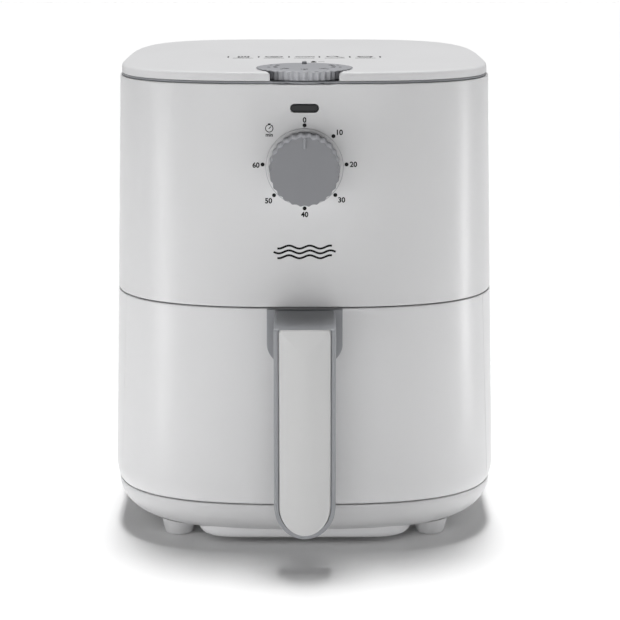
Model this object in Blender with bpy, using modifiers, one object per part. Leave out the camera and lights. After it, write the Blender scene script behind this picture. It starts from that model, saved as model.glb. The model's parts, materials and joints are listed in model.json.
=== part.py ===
"""Basket air fryer with a pull-out drawer, a timer knob on the front and a temperature dial let into the lid.

Metres, +Z up, the front faces -Y. Depths are measured from the body's widest line (positive to the back)
and every piece is then moved by WIDE_LINE, so that the assembly's bounding box is centred on the origin.
"""

import math

import bmesh
import bpy
from mathutils import Matrix, Vector

GAP = 0.0003

# Heights of the body's seams above the floor.
BASE_SEAM = 0.033
DRAWER_SEAM = 0.1627
HOUSING_TOP = 0.3042
LID_BOTTOM = 0.3061
LID_TOP = 0.3117
HALF_SEAM = 0.0004
# The lower wall's rounded foot: how far it is drawn in, and how far above the base seam.
WALL_FOOT = ((0.0020, 0), (0.0009, 0.0026), (0.00025, 0.0066), (0, 0.0116))

# Plan of the body: half width and its draft, depths in front of and behind the widest line.
HALF_WIDTH = 0.129
SIDE_DRAFT = 0.0296
BACK_DEPTH = 0.1754
BACK_POWER = 3.9
FRONT_AT = ((BASE_SEAM, 0.0985, 2.8), (DRAWER_SEAM, 0.0925, 2.73), (LID_BOTTOM, 0.091, 3.0))
PLAN_POINTS = 60
SHELL = 0.0024
HOUSING_LIP = 0.007
LIP_WALL = 0.002
VENT_HALF = 0.05
VENT_HEIGHTS = (0.2, 0.245)
VENT_ROOM = 0.0004
GRILLE_DEPTHS = (0.1703, 0.1727)
VENT_COUNT = (11, 2)
VENT_PITCH = (0.0084, 0.018)
VENT_SLOT = (0.0042, 0.0145)
HANDLE_FRONT = 0.137
WIDE_LINE = (HANDLE_FRONT - BACK_DEPTH) / 2

# Base.
TUB_BOTTOM = 0.007
TUB_CURVE = 0.034
TUB_EDGE = 0.0021
TUB_STEPS = 6
FOOT_X = 0.0845
FOOT_DEPTHS = (-0.051, 0.118)
FOOT_RADIUS = 0.0091
FOOT_TOP = 0.022
FOOT_TOP_RADIUS = 0.0143
FOOT_EDGE = 0.0008
FOOT_PEG_RADIUS = 0.004
FOOT_PEG_TOP = 0.013
COVER_BOTTOM = 0.0036
COVER_HALF = (0.0725, 0.0948)
COVER_DEPTH = 0.0153
COVER_POWER = 8
COVER_GAP = 0.0007
COVER_POINTS = 48
# The cover's pressed section, from the middle of its inside over its rim to its flat outside.
COVER_SECTION = (
    (0.0125, 0.0058),
    (0.0026, 0.0072),
    (0.0024, 0.0150),
    (0, 0.0150),
    (0.0002, 0.0072),
    (0.0012, 0.0052),
    (0.0030, 0.0040),
    (0.0052, COVER_BOTTOM),
)
GLAND_AT = (0.05, 0.1601, 0.052)
GLAND_TUBE = 0.0064
GLAND_FLANGE = 0.009
GLAND_SEAT = 0.0133
GLAND_BORE = 0.0034
GLAND_RIM = 0.0149

# Drawer, its bowl and the bay it slides in.
DRAWER_BACK = -0.048
FLANGE = 0.012
FLANGE_WALL = 0.002
FLANGE_FOOT = 0.0028
INNER_WALL = (0.005, 0.007)
INNER_HEIGHTS = (0.037, 0.1598)
BOWL_DEPTH = 0.029
BOWL_HALF = (0.098, 0.105)
BOWL_FLOOR_HALF = (0.090, 0.097)
BOWL_POWER = 3.6
BOWL_BOTTOM = 0.044
BOWL_TOP = 0.1562
BOWL_WALL = 0.0014
BOWL_LIP = 0.004
BOWL_POINTS = 56
TRAY_HALF = (0.0862, 0.0932)
TRAY_TOP = 0.0632
TRAY_RIM = 0.0065
TRAY_WALL = 0.0012
SLOT_SIZE = (0.0125, 0.005)
SLOT_PITCH = (0.0222, 0.0235)
SLOT_ROWS = 7
BUMPER_HALF = 0.007
BUMPER_REACH = 0.0022
BUMPER_DROPS = (0.0085, 0.0022)
BAY_HALF = 0.104
BAY_BACK = 0.142
BAY_WALL = 0.001
BAY_FLOOR = (0.036, 0.0372)
RAIL_X = (0.0993, 0.1023)
RAIL_BACK = 0.046
RAIL_HEIGHT = 0.003
SWITCH_X = 0.1085
SWITCH_HEIGHT = 0.108
SWITCH_CASE = ((0.1055, -0.0435, 0.100), (0.1130, -0.022, 0.116))
PLUNGER_RADIUS = 0.0018
PLUNGER_DEPTHS = (DRAWER_BACK - 0.0003, -0.0405)

# Handle.
GRIP_HALF = 0.0193
GRIP_BACK = 0.1215
GRIP_FACE = 0.1344
GRIP_BOTTOM = 0.0225
GRIP_END = 0.0215
COVER_TOP = 0.1577
INSERT_HALF = 0.0164
INSERT_BOTTOM = 0.0255
INSERT_END = 0.019
INSERT_CORNER = 0.002
INSERT_BACK = 0.1326
INSERT_BULGE = 0.0030
INSERT_EDGE = 0.0011
BRACKET_HALF = 0.0241
BRACKET_BOTTOM = 0.1266
BRACKET_TOP = 0.1621
BRACKET_CORNER = 0.013
BRACKET_FACE = 0.0972
BRACKET_BACK = 0.0945
SCREW_X = 0.011
SCREW_HEIGHT = 0.148
SCREW_RADIUS = 0.0018

# Timer and indicator on the front.
TIMER_HEIGHT = 0.2529
HOUSING_FACE = 0.0918
KNOB_BACK = 0.0933
KNOB_REACH = 0.0214
KNOB_RADIUS = 0.0224
KNOB_FACE_RADIUS = 0.0217
KNOB_EDGE = 0.0006
KNOB_SCALLOPS = 26
KNOB_DIP = 0.0010
KNOB_MARK_HALF = 0.00085
KNOB_MARK_ENDS = (0.0143, 0.0202)
KNOB_MARK_RISE = 0.0012
KNOB_BORE_DEPTH = 0.0125
BEZEL_RADIUS = 0.024
SPINDLE_RADIUS = 0.003
SPINDLE_HOLE = 0.0045
BEZEL_THICK = 0.0008
BEZEL_EDGE = (0.0002, 0.0005)
TIMER_CASE = (0.0245, 0.0265)
TIMER_CASE_FRONT = 0.0845
TIMER_BELL = (0.0215, 0.012)
LENS_HEIGHT = 0.2894
LENS_SIZE = (0.0175, 0.0050)
LENS_FACE = 0.0909
LENS_BACK = 0.0868
LAMP_RADIUS = 0.0025
LAMP_DEPTHS = (0.0864, 0.0795)

# Temperature dial in the lid.
DIAL_DEPTH = -0.066
DIAL_RIM = 0.0306
DIAL_RIM_TOP = 0.3126
DIAL_TOP_RADIUS = 0.0259
DIAL_SKIRT = 0.0250
DIAL_BOTTOM = 0.3062
DIAL_TOP = 0.3131
DIAL_SCALLOPS = 36
DIAL_DIP = 0.0009
RIDGE_TOP = 0.3146
RIDGE_HALF = 0.0015
RIDGE_ENDS = (0.0152, 0.0225)
THERMOSTAT = ((-0.016, -0.078, 0.284), (0.016, -0.048, 0.298))
DIAL_COLLAR = 0.026
COLLAR_HEIGHTS = (0.3047, 0.3059)
FRAME_EDGE = 0.0015
FRAME_SKIRT = (0.003, 0.006)
FRAME_BOTTOM = 0.298
# The lid's section, from its underside round its edge to its flat top.
LID_SECTION = (
    (0.0034, 0.3092),
    (0.0034, LID_BOTTOM),
    (0.001, LID_BOTTOM),
    (0.001, 0.3096),
    (0.0013, 0.3106),
    (0.0022, 0.3114),
    (0.0036, LID_TOP),
)
NOTCH_HALF = 0.0216
NOTCH_FLARE = (0.0033, 0.0023)

# Heater, fans and motor stand on one vertical axis behind the controls.
HEATER_DEPTH = 0.028
CEILING = 0.1654
DOME_RADIUS = 0.090
DOME_TOP = 0.1988
ELEMENT_HEIGHT = 0.1745
ELEMENT_RADII = (0.078, 0.064)
ELEMENT_TUBE = 0.0032
ELEMENT_STEPS = 24
MOTOR_PLATE = 0.202
MOTOR_TOP = 0.2557
MOTOR_FOOT = 0.2195
MOTOR_RADIUS = 0.025
PLATE_THICK = 0.0012
PLATE_CORNERS = ((-0.085, -0.04), (0.085, 0.105))
SHAFT_ENDS = (0.1765, 0.248)
GUARD_FOOT = 0.1634
GUARD_RIM = (0.0900, 0.0925)
GUARD_RINGS = (0.022, 0.045, 0.068)
STRAP_HALF = 0.01
STRAP_THICK = 0.0015
STRAP_X = (0.0475, 0.049)
STRAP_TOE = 0.062
CONVECTION_FAN = (0.0565, 0.1795, 0.1925, 9, 0.0095)
COOLING_FAN = (0.042, 0.2055, 0.2165, 7, 0.008)
DUCT = ((-0.0475, 0.1285, 0.2025), (0.0475, 0.1695, 0.2425))
DUCT_WALL = 0.0012

WHITE = ("body_white", (0.80, 0.80, 0.81, 1), 0.42, 0)
GREY = ("trim_grey", (0.33, 0.34, 0.36, 1), 0.5, 0)
KNOB_GREY = ("knob_grey", (0.24, 0.245, 0.26, 1), 0.5, 0)
DARK = ("lens_dark", (0.03, 0.03, 0.032, 1), 0.2, 0)
BLACK = ("phenolic_black", (0.03, 0.03, 0.03, 1), 0.6, 0)
COATING = ("nonstick_coating", (0.045, 0.045, 0.047, 1), 0.45, 0.2)
SILICONE = ("silicone_black", (0.02, 0.02, 0.02, 1), 0.8, 0)
STEEL = ("galvanised_steel", (0.56, 0.57, 0.58, 1), 0.35, 1)
ALUMINIUM = ("aluminium", (0.75, 0.76, 0.77, 1), 0.35, 1)
ELEMENT = ("element_sheath", (0.20, 0.21, 0.20, 1), 0.45, 1)
BRASS = ("brass", (0.72, 0.55, 0.27, 1), 0.3, 1)
NYLON = ("white_nylon", (0.78, 0.77, 0.74, 1), 0.55, 0)


def start():
    """An empty scene with one collection for the pieces and one for the cutters."""
    for obj in list(bpy.data.objects):
        bpy.data.objects.remove(obj)
    for name in ("Air fryer", "Cutters"):
        bpy.context.scene.collection.children.link(bpy.data.collections.new(name))
    bpy.data.collections["Cutters"].hide_render = True


def material(spec):
    name, colour, roughness, metallic = spec
    if name not in bpy.data.materials:
        made = bpy.data.materials.new(name)
        made.use_nodes = True
        shader = made.node_tree.nodes["Principled BSDF"]
        shader.inputs["Base Color"].default_value = colour
        shader.inputs["Roughness"].default_value = roughness
        shader.inputs["Metallic"].default_value = metallic
        made.diffuse_color = colour
    return bpy.data.materials[name]


def placed(name, data, spec, origin, helper=False):
    """An object whose own origin stands at the given point: its pivot, where the piece moves."""
    obj = bpy.data.objects.new(name, data)
    obj.location = Vector(origin) + Vector((0, WIDE_LINE, 0))
    bpy.data.collections["Cutters" if helper else "Air fryer"].objects.link(obj)
    if helper:
        obj.hide_render = True
        obj.display_type = "WIRE"
    else:
        data.materials.append(material(spec))
    return obj


def piece(name, bm, spec, origin=(0, 0, 0), helper=False):
    """The object of a mesh drawn in the body's frame."""
    bmesh.ops.recalc_face_normals(bm, faces=bm.faces)
    bmesh.ops.translate(bm, verts=bm.verts, vec=-Vector(origin))
    mesh = bpy.data.meshes.new(name)
    bm.to_mesh(mesh)
    bm.free()
    mesh.shade_smooth()
    mesh.set_sharp_from_angle(angle=math.radians(32))
    return placed(name, mesh, spec, origin, helper)


def modified(obj, kind, **settings):
    modifier = obj.modifiers.new(kind.title(), kind)
    for key, value in settings.items():
        setattr(modifier, key, value)
    return modifier


def combined(obj, other, operation):
    return modified(obj, "BOOLEAN", operation=operation, object=other, solver="EXACT")


def cut(obj, *cutters):
    for cutter in cutters:
        combined(obj, cutter, "DIFFERENCE")


def join(obj, *others):
    for other in others:
        combined(obj, other, "UNION")


def bevelled(obj, width, segments=2, angle=40):
    modified(
        obj, "BEVEL", width=width, segments=segments, limit_method="ANGLE", angle_limit=math.radians(angle)
    )
    return obj


def superellipse(half, front, back, front_power, back_power, height, depth=0, count=PLAN_POINTS):
    """A closed outline, seen from above, with its own curve in front of and behind its widest line."""
    ring = []
    for step in range(count):
        angle = math.tau * step / count
        cosine, sine = math.cos(angle), math.sin(angle)
        power, reach = (back_power, back) if sine >= 0 else (front_power, front)
        x = math.copysign(half * abs(cosine) ** (2 / power), cosine)
        y = math.copysign(reach * abs(sine) ** (2 / power), sine)
        ring.append(Vector((x, depth + y, height)))
    return ring


def front_at(height):
    """Depth and curve of the front at this height."""
    low, middle, high = FRONT_AT
    first, second = (low, middle) if height < middle[0] else (middle, high)
    share = (height - first[0]) / (second[0] - first[0])
    return [first[i] + (second[i] - first[i]) * share for i in (1, 2)]


def body_ring(inset, height):
    """The body's outline at a height, drawn in by the inset."""
    front, power = front_at(height)
    half = HALF_WIDTH - SIDE_DRAFT * (height - BASE_SEAM)
    return superellipse(half - inset, front - inset, BACK_DEPTH - inset, power, BACK_POWER, height)


def oval_ring(half, height, depth, power, count=PLAN_POINTS):
    return superellipse(half[0], half[1], half[1], power, power, height, depth, count)


def circle(radius, height, count=32, depth=0, x=0):
    angles = [math.tau * step / count for step in range(count)]
    return [Vector((x + radius * math.cos(a), depth + radius * math.sin(a), height)) for a in angles]


def scallops(radius, dip, number, height, depth=0):
    """A circle with shallow finger grooves, four points to each."""
    ring = []
    for step in range(number * 4):
        angle = math.tau * step / (number * 4)
        reach = radius - dip * (0, 0.5, 1, 0.5)[step % 4]
        ring.append(Vector((reach * math.cos(angle), depth + reach * math.sin(angle), height)))
    return ring


def lofted(rings, wrapped=False):
    """A skin over the rings, with both ends closed or the last ring joined to the first."""
    bm = bmesh.new()
    rows = [[bm.verts.new(point) for point in ring] for ring in rings]
    pairs = list(zip(rows, rows[1:] + rows[:1])) if wrapped else list(zip(rows, rows[1:]))
    for lower, upper in pairs:
        for i in range(len(lower)):
            j = (i + 1) % len(lower)
            bm.faces.new((lower[i], lower[j], upper[j], upper[i]))
    if not wrapped:
        bm.faces.new(rows[0])
        bm.faces.new(rows[-1])
    return bm


def block(low, high):
    bm = bmesh.new()
    size = Vector(high) - Vector(low)
    middle = (Vector(high) + Vector(low)) / 2
    bmesh.ops.create_cube(bm, size=1, matrix=Matrix.Translation(middle) @ Matrix.Diagonal((*size, 1)))
    return bm


def rod(radius, start_point, end_point, count=24, end_radius=None):
    """A straight round bar, or a cone where the radii differ."""
    bm = bmesh.new()
    along = Vector(end_point) - Vector(start_point)
    turn = Vector((0, 0, 1)).rotation_difference(along).to_matrix().to_4x4()
    middle = (Vector(start_point) + Vector(end_point)) / 2
    bmesh.ops.create_cone(
        bm,
        cap_ends=True,
        segments=count,
        radius1=radius,
        radius2=radius if end_radius is None else end_radius,
        depth=along.length,
        matrix=Matrix.Translation(middle) @ turn,
    )
    return bm


def box_piece(name, low, high, spec, origin=(0, 0, 0), helper=False):
    return piece(name, block(low, high), spec, origin, helper)


def rod_piece(name, radius, low, high, spec, origin=(0, 0, 0), helper=False, count=24, end_radius=None):
    return piece(name, rod(radius, low, high, count, end_radius), spec, origin, helper)


def turned(name, profile, spec, origin, steps=48, facing_front=False, helper=False):
    """A turned piece: its half section, from the top down its outer side, swept about its axis."""
    mesh = bpy.data.meshes.new(name)
    closed = abs(profile[0][0]) > 0
    links = [(i, i + 1) for i in range(len(profile) - 1)]
    if closed:
        links.append((len(profile) - 1, 0))
    mesh.from_pydata([(radius, 0, height) for radius, height in profile], links, [])
    obj = placed(name, mesh, spec, origin, helper)
    if facing_front:
        obj.rotation_euler = (math.pi / 2, 0, 0)
    modified(
        obj,
        "SCREW",
        axis="Z",
        angle=math.tau,
        steps=steps,
        render_steps=steps,
        use_merge_vertices=True,
        merge_threshold=0.00001,
        use_smooth_shade=True,
    )
    return obj


def outline_solid(outline, thickness_from, thickness_to, plane="front"):
    """A flat outline given thickness: drawn in X and Z for a front view, in depth and Z for a side view."""
    curve = bpy.data.curves.new("outline", "CURVE")
    curve.dimensions = "2D"
    curve.fill_mode = "BOTH"
    curve.extrude = abs(thickness_to - thickness_from) / 2
    spline = curve.splines.new("POLY")
    spline.points.add(len(outline) - 1)
    for point, (across, up) in zip(spline.points, outline):
        point.co = (across, up, 0, 1)
    spline.use_cyclic_u = True
    drawn = bpy.data.objects.new("outline", curve)
    bpy.data.collections["Cutters"].objects.link(drawn)
    bpy.context.view_layer.update()
    mesh = bpy.data.meshes.new_from_object(drawn.evaluated_get(bpy.context.evaluated_depsgraph_get()))
    bm = bmesh.new()
    bm.from_mesh(mesh)
    bmesh.ops.remove_doubles(bm, verts=bm.verts, dist=0.000001)
    bmesh.ops.dissolve_limit(bm, angle_limit=math.radians(0.2), verts=bm.verts, edges=bm.edges)
    bpy.data.objects.remove(drawn)
    bpy.data.curves.remove(curve)
    bpy.data.meshes.remove(mesh)
    middle = (thickness_from + thickness_to) / 2
    if plane == "front":
        stand = Matrix.Translation((0, middle, 0)) @ Matrix.Rotation(math.pi / 2, 4, "X")
    elif plane == "side":
        rolled = Matrix(((0, 0, 1, 0), (1, 0, 0, 0), (0, 1, 0, 0), (0, 0, 0, 1)))
        stand = Matrix.Translation((middle, 0, 0)) @ rolled
    else:
        stand = Matrix.Translation((0, 0, middle))
    bmesh.ops.transform(bm, matrix=stand, verts=bm.verts)
    return bm


def stadium(width, height, middle, count=8):
    """Outline with two straight sides and two half-round ends."""
    radius = height / 2
    reach = width / 2 - radius
    points = []
    for side in (1, -1):
        for step in range(count + 1):
            angle = math.pi * (step / count - 0.5)
            points.append((side * (reach + radius * math.cos(angle)), middle + side * radius * math.sin(angle)))
    return points


def tongue(half, top, bottom, end, corner, inset=0.0, count=12):
    """Front view of the handle: straight sides, a half-oval lower end and small rounded upper corners."""
    half, top, bottom, end = half - inset, top - inset, bottom + inset, end - inset
    corner = max(corner - inset, 0.0003)
    points = []
    for step in range(count + 1):
        angle = math.pi * (1 + step / count)
        points.append((half * math.cos(angle), bottom + end + end * math.sin(angle)))
    for side in (1, -1):
        for step in range(4):
            angle = math.pi / 2 * step / 3
            along, up = (math.cos(angle), math.sin(angle)) if side == 1 else (math.sin(angle), math.cos(angle))
            points.append((side * (half - corner + corner * along), top - corner + corner * up))
    return points


def shells():
    """The fixed outer mouldings."""
    seam = BASE_SEAM - HALF_SEAM
    outer = []
    inner = []
    around = []
    for step in range(TUB_STEPS + 1):
        share = math.sin(math.pi / 2 * step / TUB_STEPS)
        curve = TUB_CURVE * (1 - math.sqrt(max(0, 1 - share * share)))
        outer.append(body_ring(TUB_EDGE + curve, seam - (seam - TUB_BOTTOM) * share))
        inner.append(body_ring(TUB_EDGE + SHELL + curve, seam - (seam - TUB_BOTTOM - SHELL) * share))
        around.append(body_ring(TUB_EDGE - GAP + curve, seam - GAP - (seam - TUB_BOTTOM) * share))
    tub = piece("base_tub", lofted(inner[::-1] + outer), WHITE)
    tub_room = piece("tub_room", lofted([body_ring(TUB_EDGE - GAP, 0.05)] + around), None, helper=True)
    well = [side + COVER_GAP for side in COVER_HALF]
    hole = lofted([oval_ring(well, z, COVER_DEPTH, COVER_POWER, COVER_POINTS) for z in (0.001, 0.020)])
    cut(tub, piece("tub_well", hole, None, helper=True))
    rings = []
    for inset, z in COVER_SECTION:
        half = [side - inset for side in COVER_HALF]
        rings.append(oval_ring(half, z, COVER_DEPTH, COVER_POWER, COVER_POINTS))
    piece("bottom_cover", lofted(rings), WHITE)
    for row, depth in zip(("front", "rear"), FOOT_DEPTHS):
        for side, x in (("left", -FOOT_X), ("right", FOOT_X)):
            profile = [(0, FOOT_TOP), (FOOT_TOP_RADIUS, FOOT_TOP), (FOOT_RADIUS, FOOT_EDGE)]
            profile += [(FOOT_RADIUS - FOOT_EDGE, 0), (0, 0)]
            foot = turned(f"foot_{row}_{side}", profile, WHITE, (x, depth, 0), 32)
            cut(foot, tub_room)
            peg = ((x, depth, 0.002), (x, depth, FOOT_PEG_TOP))
            origin = (x, depth, 0)
            join(foot, rod_piece(f"foot_peg_{row}_{side}", FOOT_PEG_RADIUS, *peg, None, origin, helper=True))
            hole = ((x, depth, 0.001), (x, depth, 0.02))
            cut(tub, rod_piece(f"peg_hole_{row}_{side}", FOOT_PEG_RADIUS + GAP, *hole, None, helper=True))

    low = BASE_SEAM + HALF_SEAM
    high = DRAWER_SEAM - HALF_SEAM
    edge = [(inset, low + rise) for inset, rise in WALL_FOOT] + [(0, high), (SHELL, high), (SHELL + 0.001, low)]
    wall = [body_ring(*point) for point in edge]
    rear = piece("rear_shell", lofted(wall, wrapped=True), WHITE)
    front_room = ((-0.2, -0.2, 0), (0.2, DRAWER_BACK + 0.0002, 0.3))
    cut(rear, box_piece("rear_shell_front", *front_room, None, helper=True))
    x, seat, z = GLAND_AT
    passage = ((x, 0.15, z), (x, 0.2, z))
    cut(rear, rod_piece("gland_hole", GLAND_TUBE + 2 * GAP, *passage, None, helper=True))
    recess = ((x, seat + GLAND_SEAT - GAP, z), (x, 0.2, z))
    cut(rear, rod_piece("gland_recess", GLAND_FLANGE + GAP, *recess, None, helper=True, count=32))
    profile = [(GLAND_BORE, GLAND_RIM), (GLAND_FLANGE, GLAND_RIM), (GLAND_FLANGE, GLAND_SEAT)]
    profile += [(GLAND_TUBE, GLAND_SEAT), (GLAND_TUBE, 0), (GLAND_BORE, 0)]
    gland = turned("cable_gland", profile, BLACK, GLAND_AT, 32)
    gland.rotation_euler = (-math.pi / 2, 0, 0)

    low = DRAWER_SEAM + HALF_SEAM
    steps = ((0, low), (0, 0.21), (0, 0.26), (0, HOUSING_TOP), (SHELL, HOUSING_TOP), (SHELL, 0.21))
    steps += ((SHELL, low + LIP_WALL), (HOUSING_LIP, low + LIP_WALL), (HOUSING_LIP, low))
    housing = piece("upper_housing", lofted([body_ring(*step) for step in steps], wrapped=True), WHITE)
    spindle = ((0, -0.1, TIMER_HEIGHT), (0, -0.08, TIMER_HEIGHT))
    cut(housing, rod_piece("timer_hole", SPINDLE_HOLE, *spindle, None, helper=True))
    hole = stadium(LENS_SIZE[0] + 2 * GAP, LENS_SIZE[1] + 2 * GAP, LENS_HEIGHT)
    cut(housing, piece("lens_hole", outline_solid(hole, -0.1, -0.08), None, helper=True))
    low, high = VENT_HEIGHTS
    vent = ((-VENT_HALF, 0.16, low), (VENT_HALF, 0.2, high))
    cut(housing, box_piece("vent_opening", *vent, None, helper=True))
    half = VENT_HALF - VENT_ROOM
    corners = ((-half, GRILLE_DEPTHS[0], low + VENT_ROOM), (half, GRILLE_DEPTHS[1], high - VENT_ROOM))
    grille = box_piece("exhaust_grille", *corners, GREY)
    slots = bmesh.new()
    columns, rows = VENT_COUNT
    for row in range(rows):
        for column in range(columns):
            x = (column - (columns - 1) / 2) * VENT_PITCH[0]
            z = (low + high) / 2 + (row - (rows - 1) / 2) * VENT_PITCH[1]
            place = Matrix.Translation((x, sum(GRILLE_DEPTHS) / 2, z))
            size = Matrix.Diagonal((VENT_SLOT[0], 0.01, VENT_SLOT[1], 1))
            bmesh.ops.create_cube(slots, size=1, matrix=place @ size)
    cut(grille, piece("vent_slots", slots, None, helper=True))

    low = HOUSING_TOP + GAP
    high = LID_BOTTOM - GAP
    outside, inside = FRAME_SKIRT
    steps = ((FRAME_EDGE, low), (FRAME_EDGE, high), (inside, high), (inside, FRAME_BOTTOM))
    steps += ((outside, FRAME_BOTTOM), (outside, low))
    frame = piece("top_frame", lofted([body_ring(*step) for step in steps], wrapped=True), GREY)
    well = ((0, DIAL_DEPTH, HOUSING_TOP + 0.0001), (0, DIAL_DEPTH, 0.32))
    cut(frame, rod_piece("collar_well", DIAL_COLLAR + 0.0004, *well, None, helper=True, count=48))
    low, high = COLLAR_HEIGHTS
    bore = SPINDLE_RADIUS + 2 * GAP
    profile = [(bore, high), (DIAL_COLLAR, high), (DIAL_COLLAR, low), (bore, low)]
    turned("dial_collar", profile, GREY, (0, DIAL_DEPTH, 0), 48)

    lid = piece("lid_cover", lofted([body_ring(*step) for step in LID_SECTION]), WHITE)
    flare_across, flare_up = NOTCH_FLARE
    notch = [(NOTCH_HALF, 0.30)]
    for step in range(5):
        angle = math.pi / 2 * step / 4
        x = NOTCH_HALF + flare_across * (1 - math.cos(angle))
        notch.append((x, LID_TOP - flare_up + flare_up * math.sin(angle)))
    notch.append((NOTCH_HALF + flare_across, 0.32))
    notch += [(-x, z) for x, z in notch[::-1]]
    cut(lid, piece("lid_notch", outline_solid(notch, -0.12, DIAL_DEPTH), None, helper=True))
    ring = ((0, DIAL_DEPTH, 0.30), (0, DIAL_DEPTH, 0.32))
    cut(lid, rod_piece("lid_well", DIAL_SKIRT + 0.0006, *ring, None, helper=True, count=48))


def controls():
    """Timer knob, temperature dial, indicator and what stands behind them."""
    face = -HOUSING_FACE
    pivot = (0, -KNOB_BACK, TIMER_HEIGHT)
    rings = [(KNOB_RADIUS - KNOB_EDGE, 0), (KNOB_RADIUS, KNOB_EDGE), (KNOB_FACE_RADIUS, KNOB_REACH - KNOB_EDGE)]
    rings += [(KNOB_FACE_RADIUS - 0.3 * KNOB_EDGE, KNOB_REACH - 0.3 * KNOB_EDGE)]
    rings += [(KNOB_FACE_RADIUS - KNOB_EDGE, KNOB_REACH)]
    bm = lofted([scallops(radius, KNOB_DIP, KNOB_SCALLOPS, z) for radius, z in rings])
    outward = Matrix.Translation(pivot) @ Matrix.Rotation(math.pi / 2, 4, "X")
    bmesh.ops.transform(bm, matrix=outward, verts=bm.verts)
    knob = piece("timer_knob", bm, KNOB_GREY, pivot)
    front = -KNOB_BACK - KNOB_REACH
    low, high = [TIMER_HEIGHT + end for end in KNOB_MARK_ENDS]
    mark = ((-KNOB_MARK_HALF, front - KNOB_MARK_RISE, low), (KNOB_MARK_HALF, front + 0.001, high))
    join(knob, box_piece("knob_mark", *mark, None, pivot, helper=True))
    bore = ((0, -KNOB_BACK + 0.001, TIMER_HEIGHT), (0, -KNOB_BACK - KNOB_BORE_DEPTH, TIMER_HEIGHT))
    cut(knob, rod_piece("knob_bore", SPINDLE_RADIUS + GAP, *bore, None, pivot, helper=True))
    spindle = ((0, -KNOB_BACK - 0.012, TIMER_HEIGHT), (0, -0.0848, TIMER_HEIGHT))
    rod_piece("timer_spindle", SPINDLE_RADIUS, *spindle, STEEL, pivot)
    profile = [(SPINDLE_HOLE, BEZEL_THICK), (BEZEL_RADIUS - BEZEL_EDGE[0], BEZEL_THICK)]
    profile += [(BEZEL_RADIUS, BEZEL_EDGE[1]), (BEZEL_RADIUS, 0), (SPINDLE_HOLE, 0)]
    turned("timer_bezel", profile, WHITE, (0, face - GAP, TIMER_HEIGHT), 48, True)
    radius, reach = TIMER_CASE
    profile = [(0, reach), (radius - 0.001, reach), (radius, reach - 0.001), (radius, 0), (0, 0)]
    back = reach - TIMER_CASE_FRONT
    turned("timer_body", profile, STEEL, (0, back, TIMER_HEIGHT), 32, True)
    radius, reach = TIMER_BELL
    profile = [(0, reach), (radius, reach), (radius, reach / 2), (radius - 0.0035, 0.001), (0, 0)]
    turned("timer_bell", profile, STEEL, (0, back + reach + 0.0005, TIMER_HEIGHT), 32, True)

    lens = outline_solid(stadium(*LENS_SIZE, LENS_HEIGHT), -LENS_FACE, -LENS_BACK)
    piece("indicator_lens", lens, DARK)
    lamp = [(0, -depth, LENS_HEIGHT) for depth in LAMP_DEPTHS]
    rod_piece("indicator_lamp", LAMP_RADIUS, *lamp, BRASS, count=16)

    pivot = (0, DIAL_DEPTH, LID_TOP)
    low = LID_TOP + GAP
    rings = []
    for radius, z in ((DIAL_SKIRT, DIAL_BOTTOM), (DIAL_SKIRT, low), (DIAL_RIM, low), (DIAL_RIM, DIAL_RIM_TOP)):
        rings.append(scallops(radius, DIAL_DIP, DIAL_SCALLOPS, z, DIAL_DEPTH))
    rings.append(circle(DIAL_TOP_RADIUS, DIAL_TOP, DIAL_SCALLOPS * 4, DIAL_DEPTH))
    dial = piece("temperature_dial", lofted(rings), GREY, pivot)
    near, far = [DIAL_DEPTH + end for end in RIDGE_ENDS]
    ridge = ((-RIDGE_HALF, near, DIAL_TOP - 0.001), (RIDGE_HALF, far, RIDGE_TOP))
    join(dial, box_piece("dial_mark", *ridge, None, pivot, helper=True))
    bore = ((0, DIAL_DEPTH, 0.304), (0, DIAL_DEPTH, 0.3103))
    cut(dial, rod_piece("dial_bore", SPINDLE_RADIUS + GAP, *bore, None, pivot, helper=True))
    spindle = ((0, DIAL_DEPTH, 0.2983), (0, DIAL_DEPTH, 0.31))
    rod_piece("dial_spindle", SPINDLE_RADIUS, *spindle, STEEL, pivot)
    bevelled(box_piece("thermostat_body", *THERMOSTAT, NYLON), 0.001)


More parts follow.
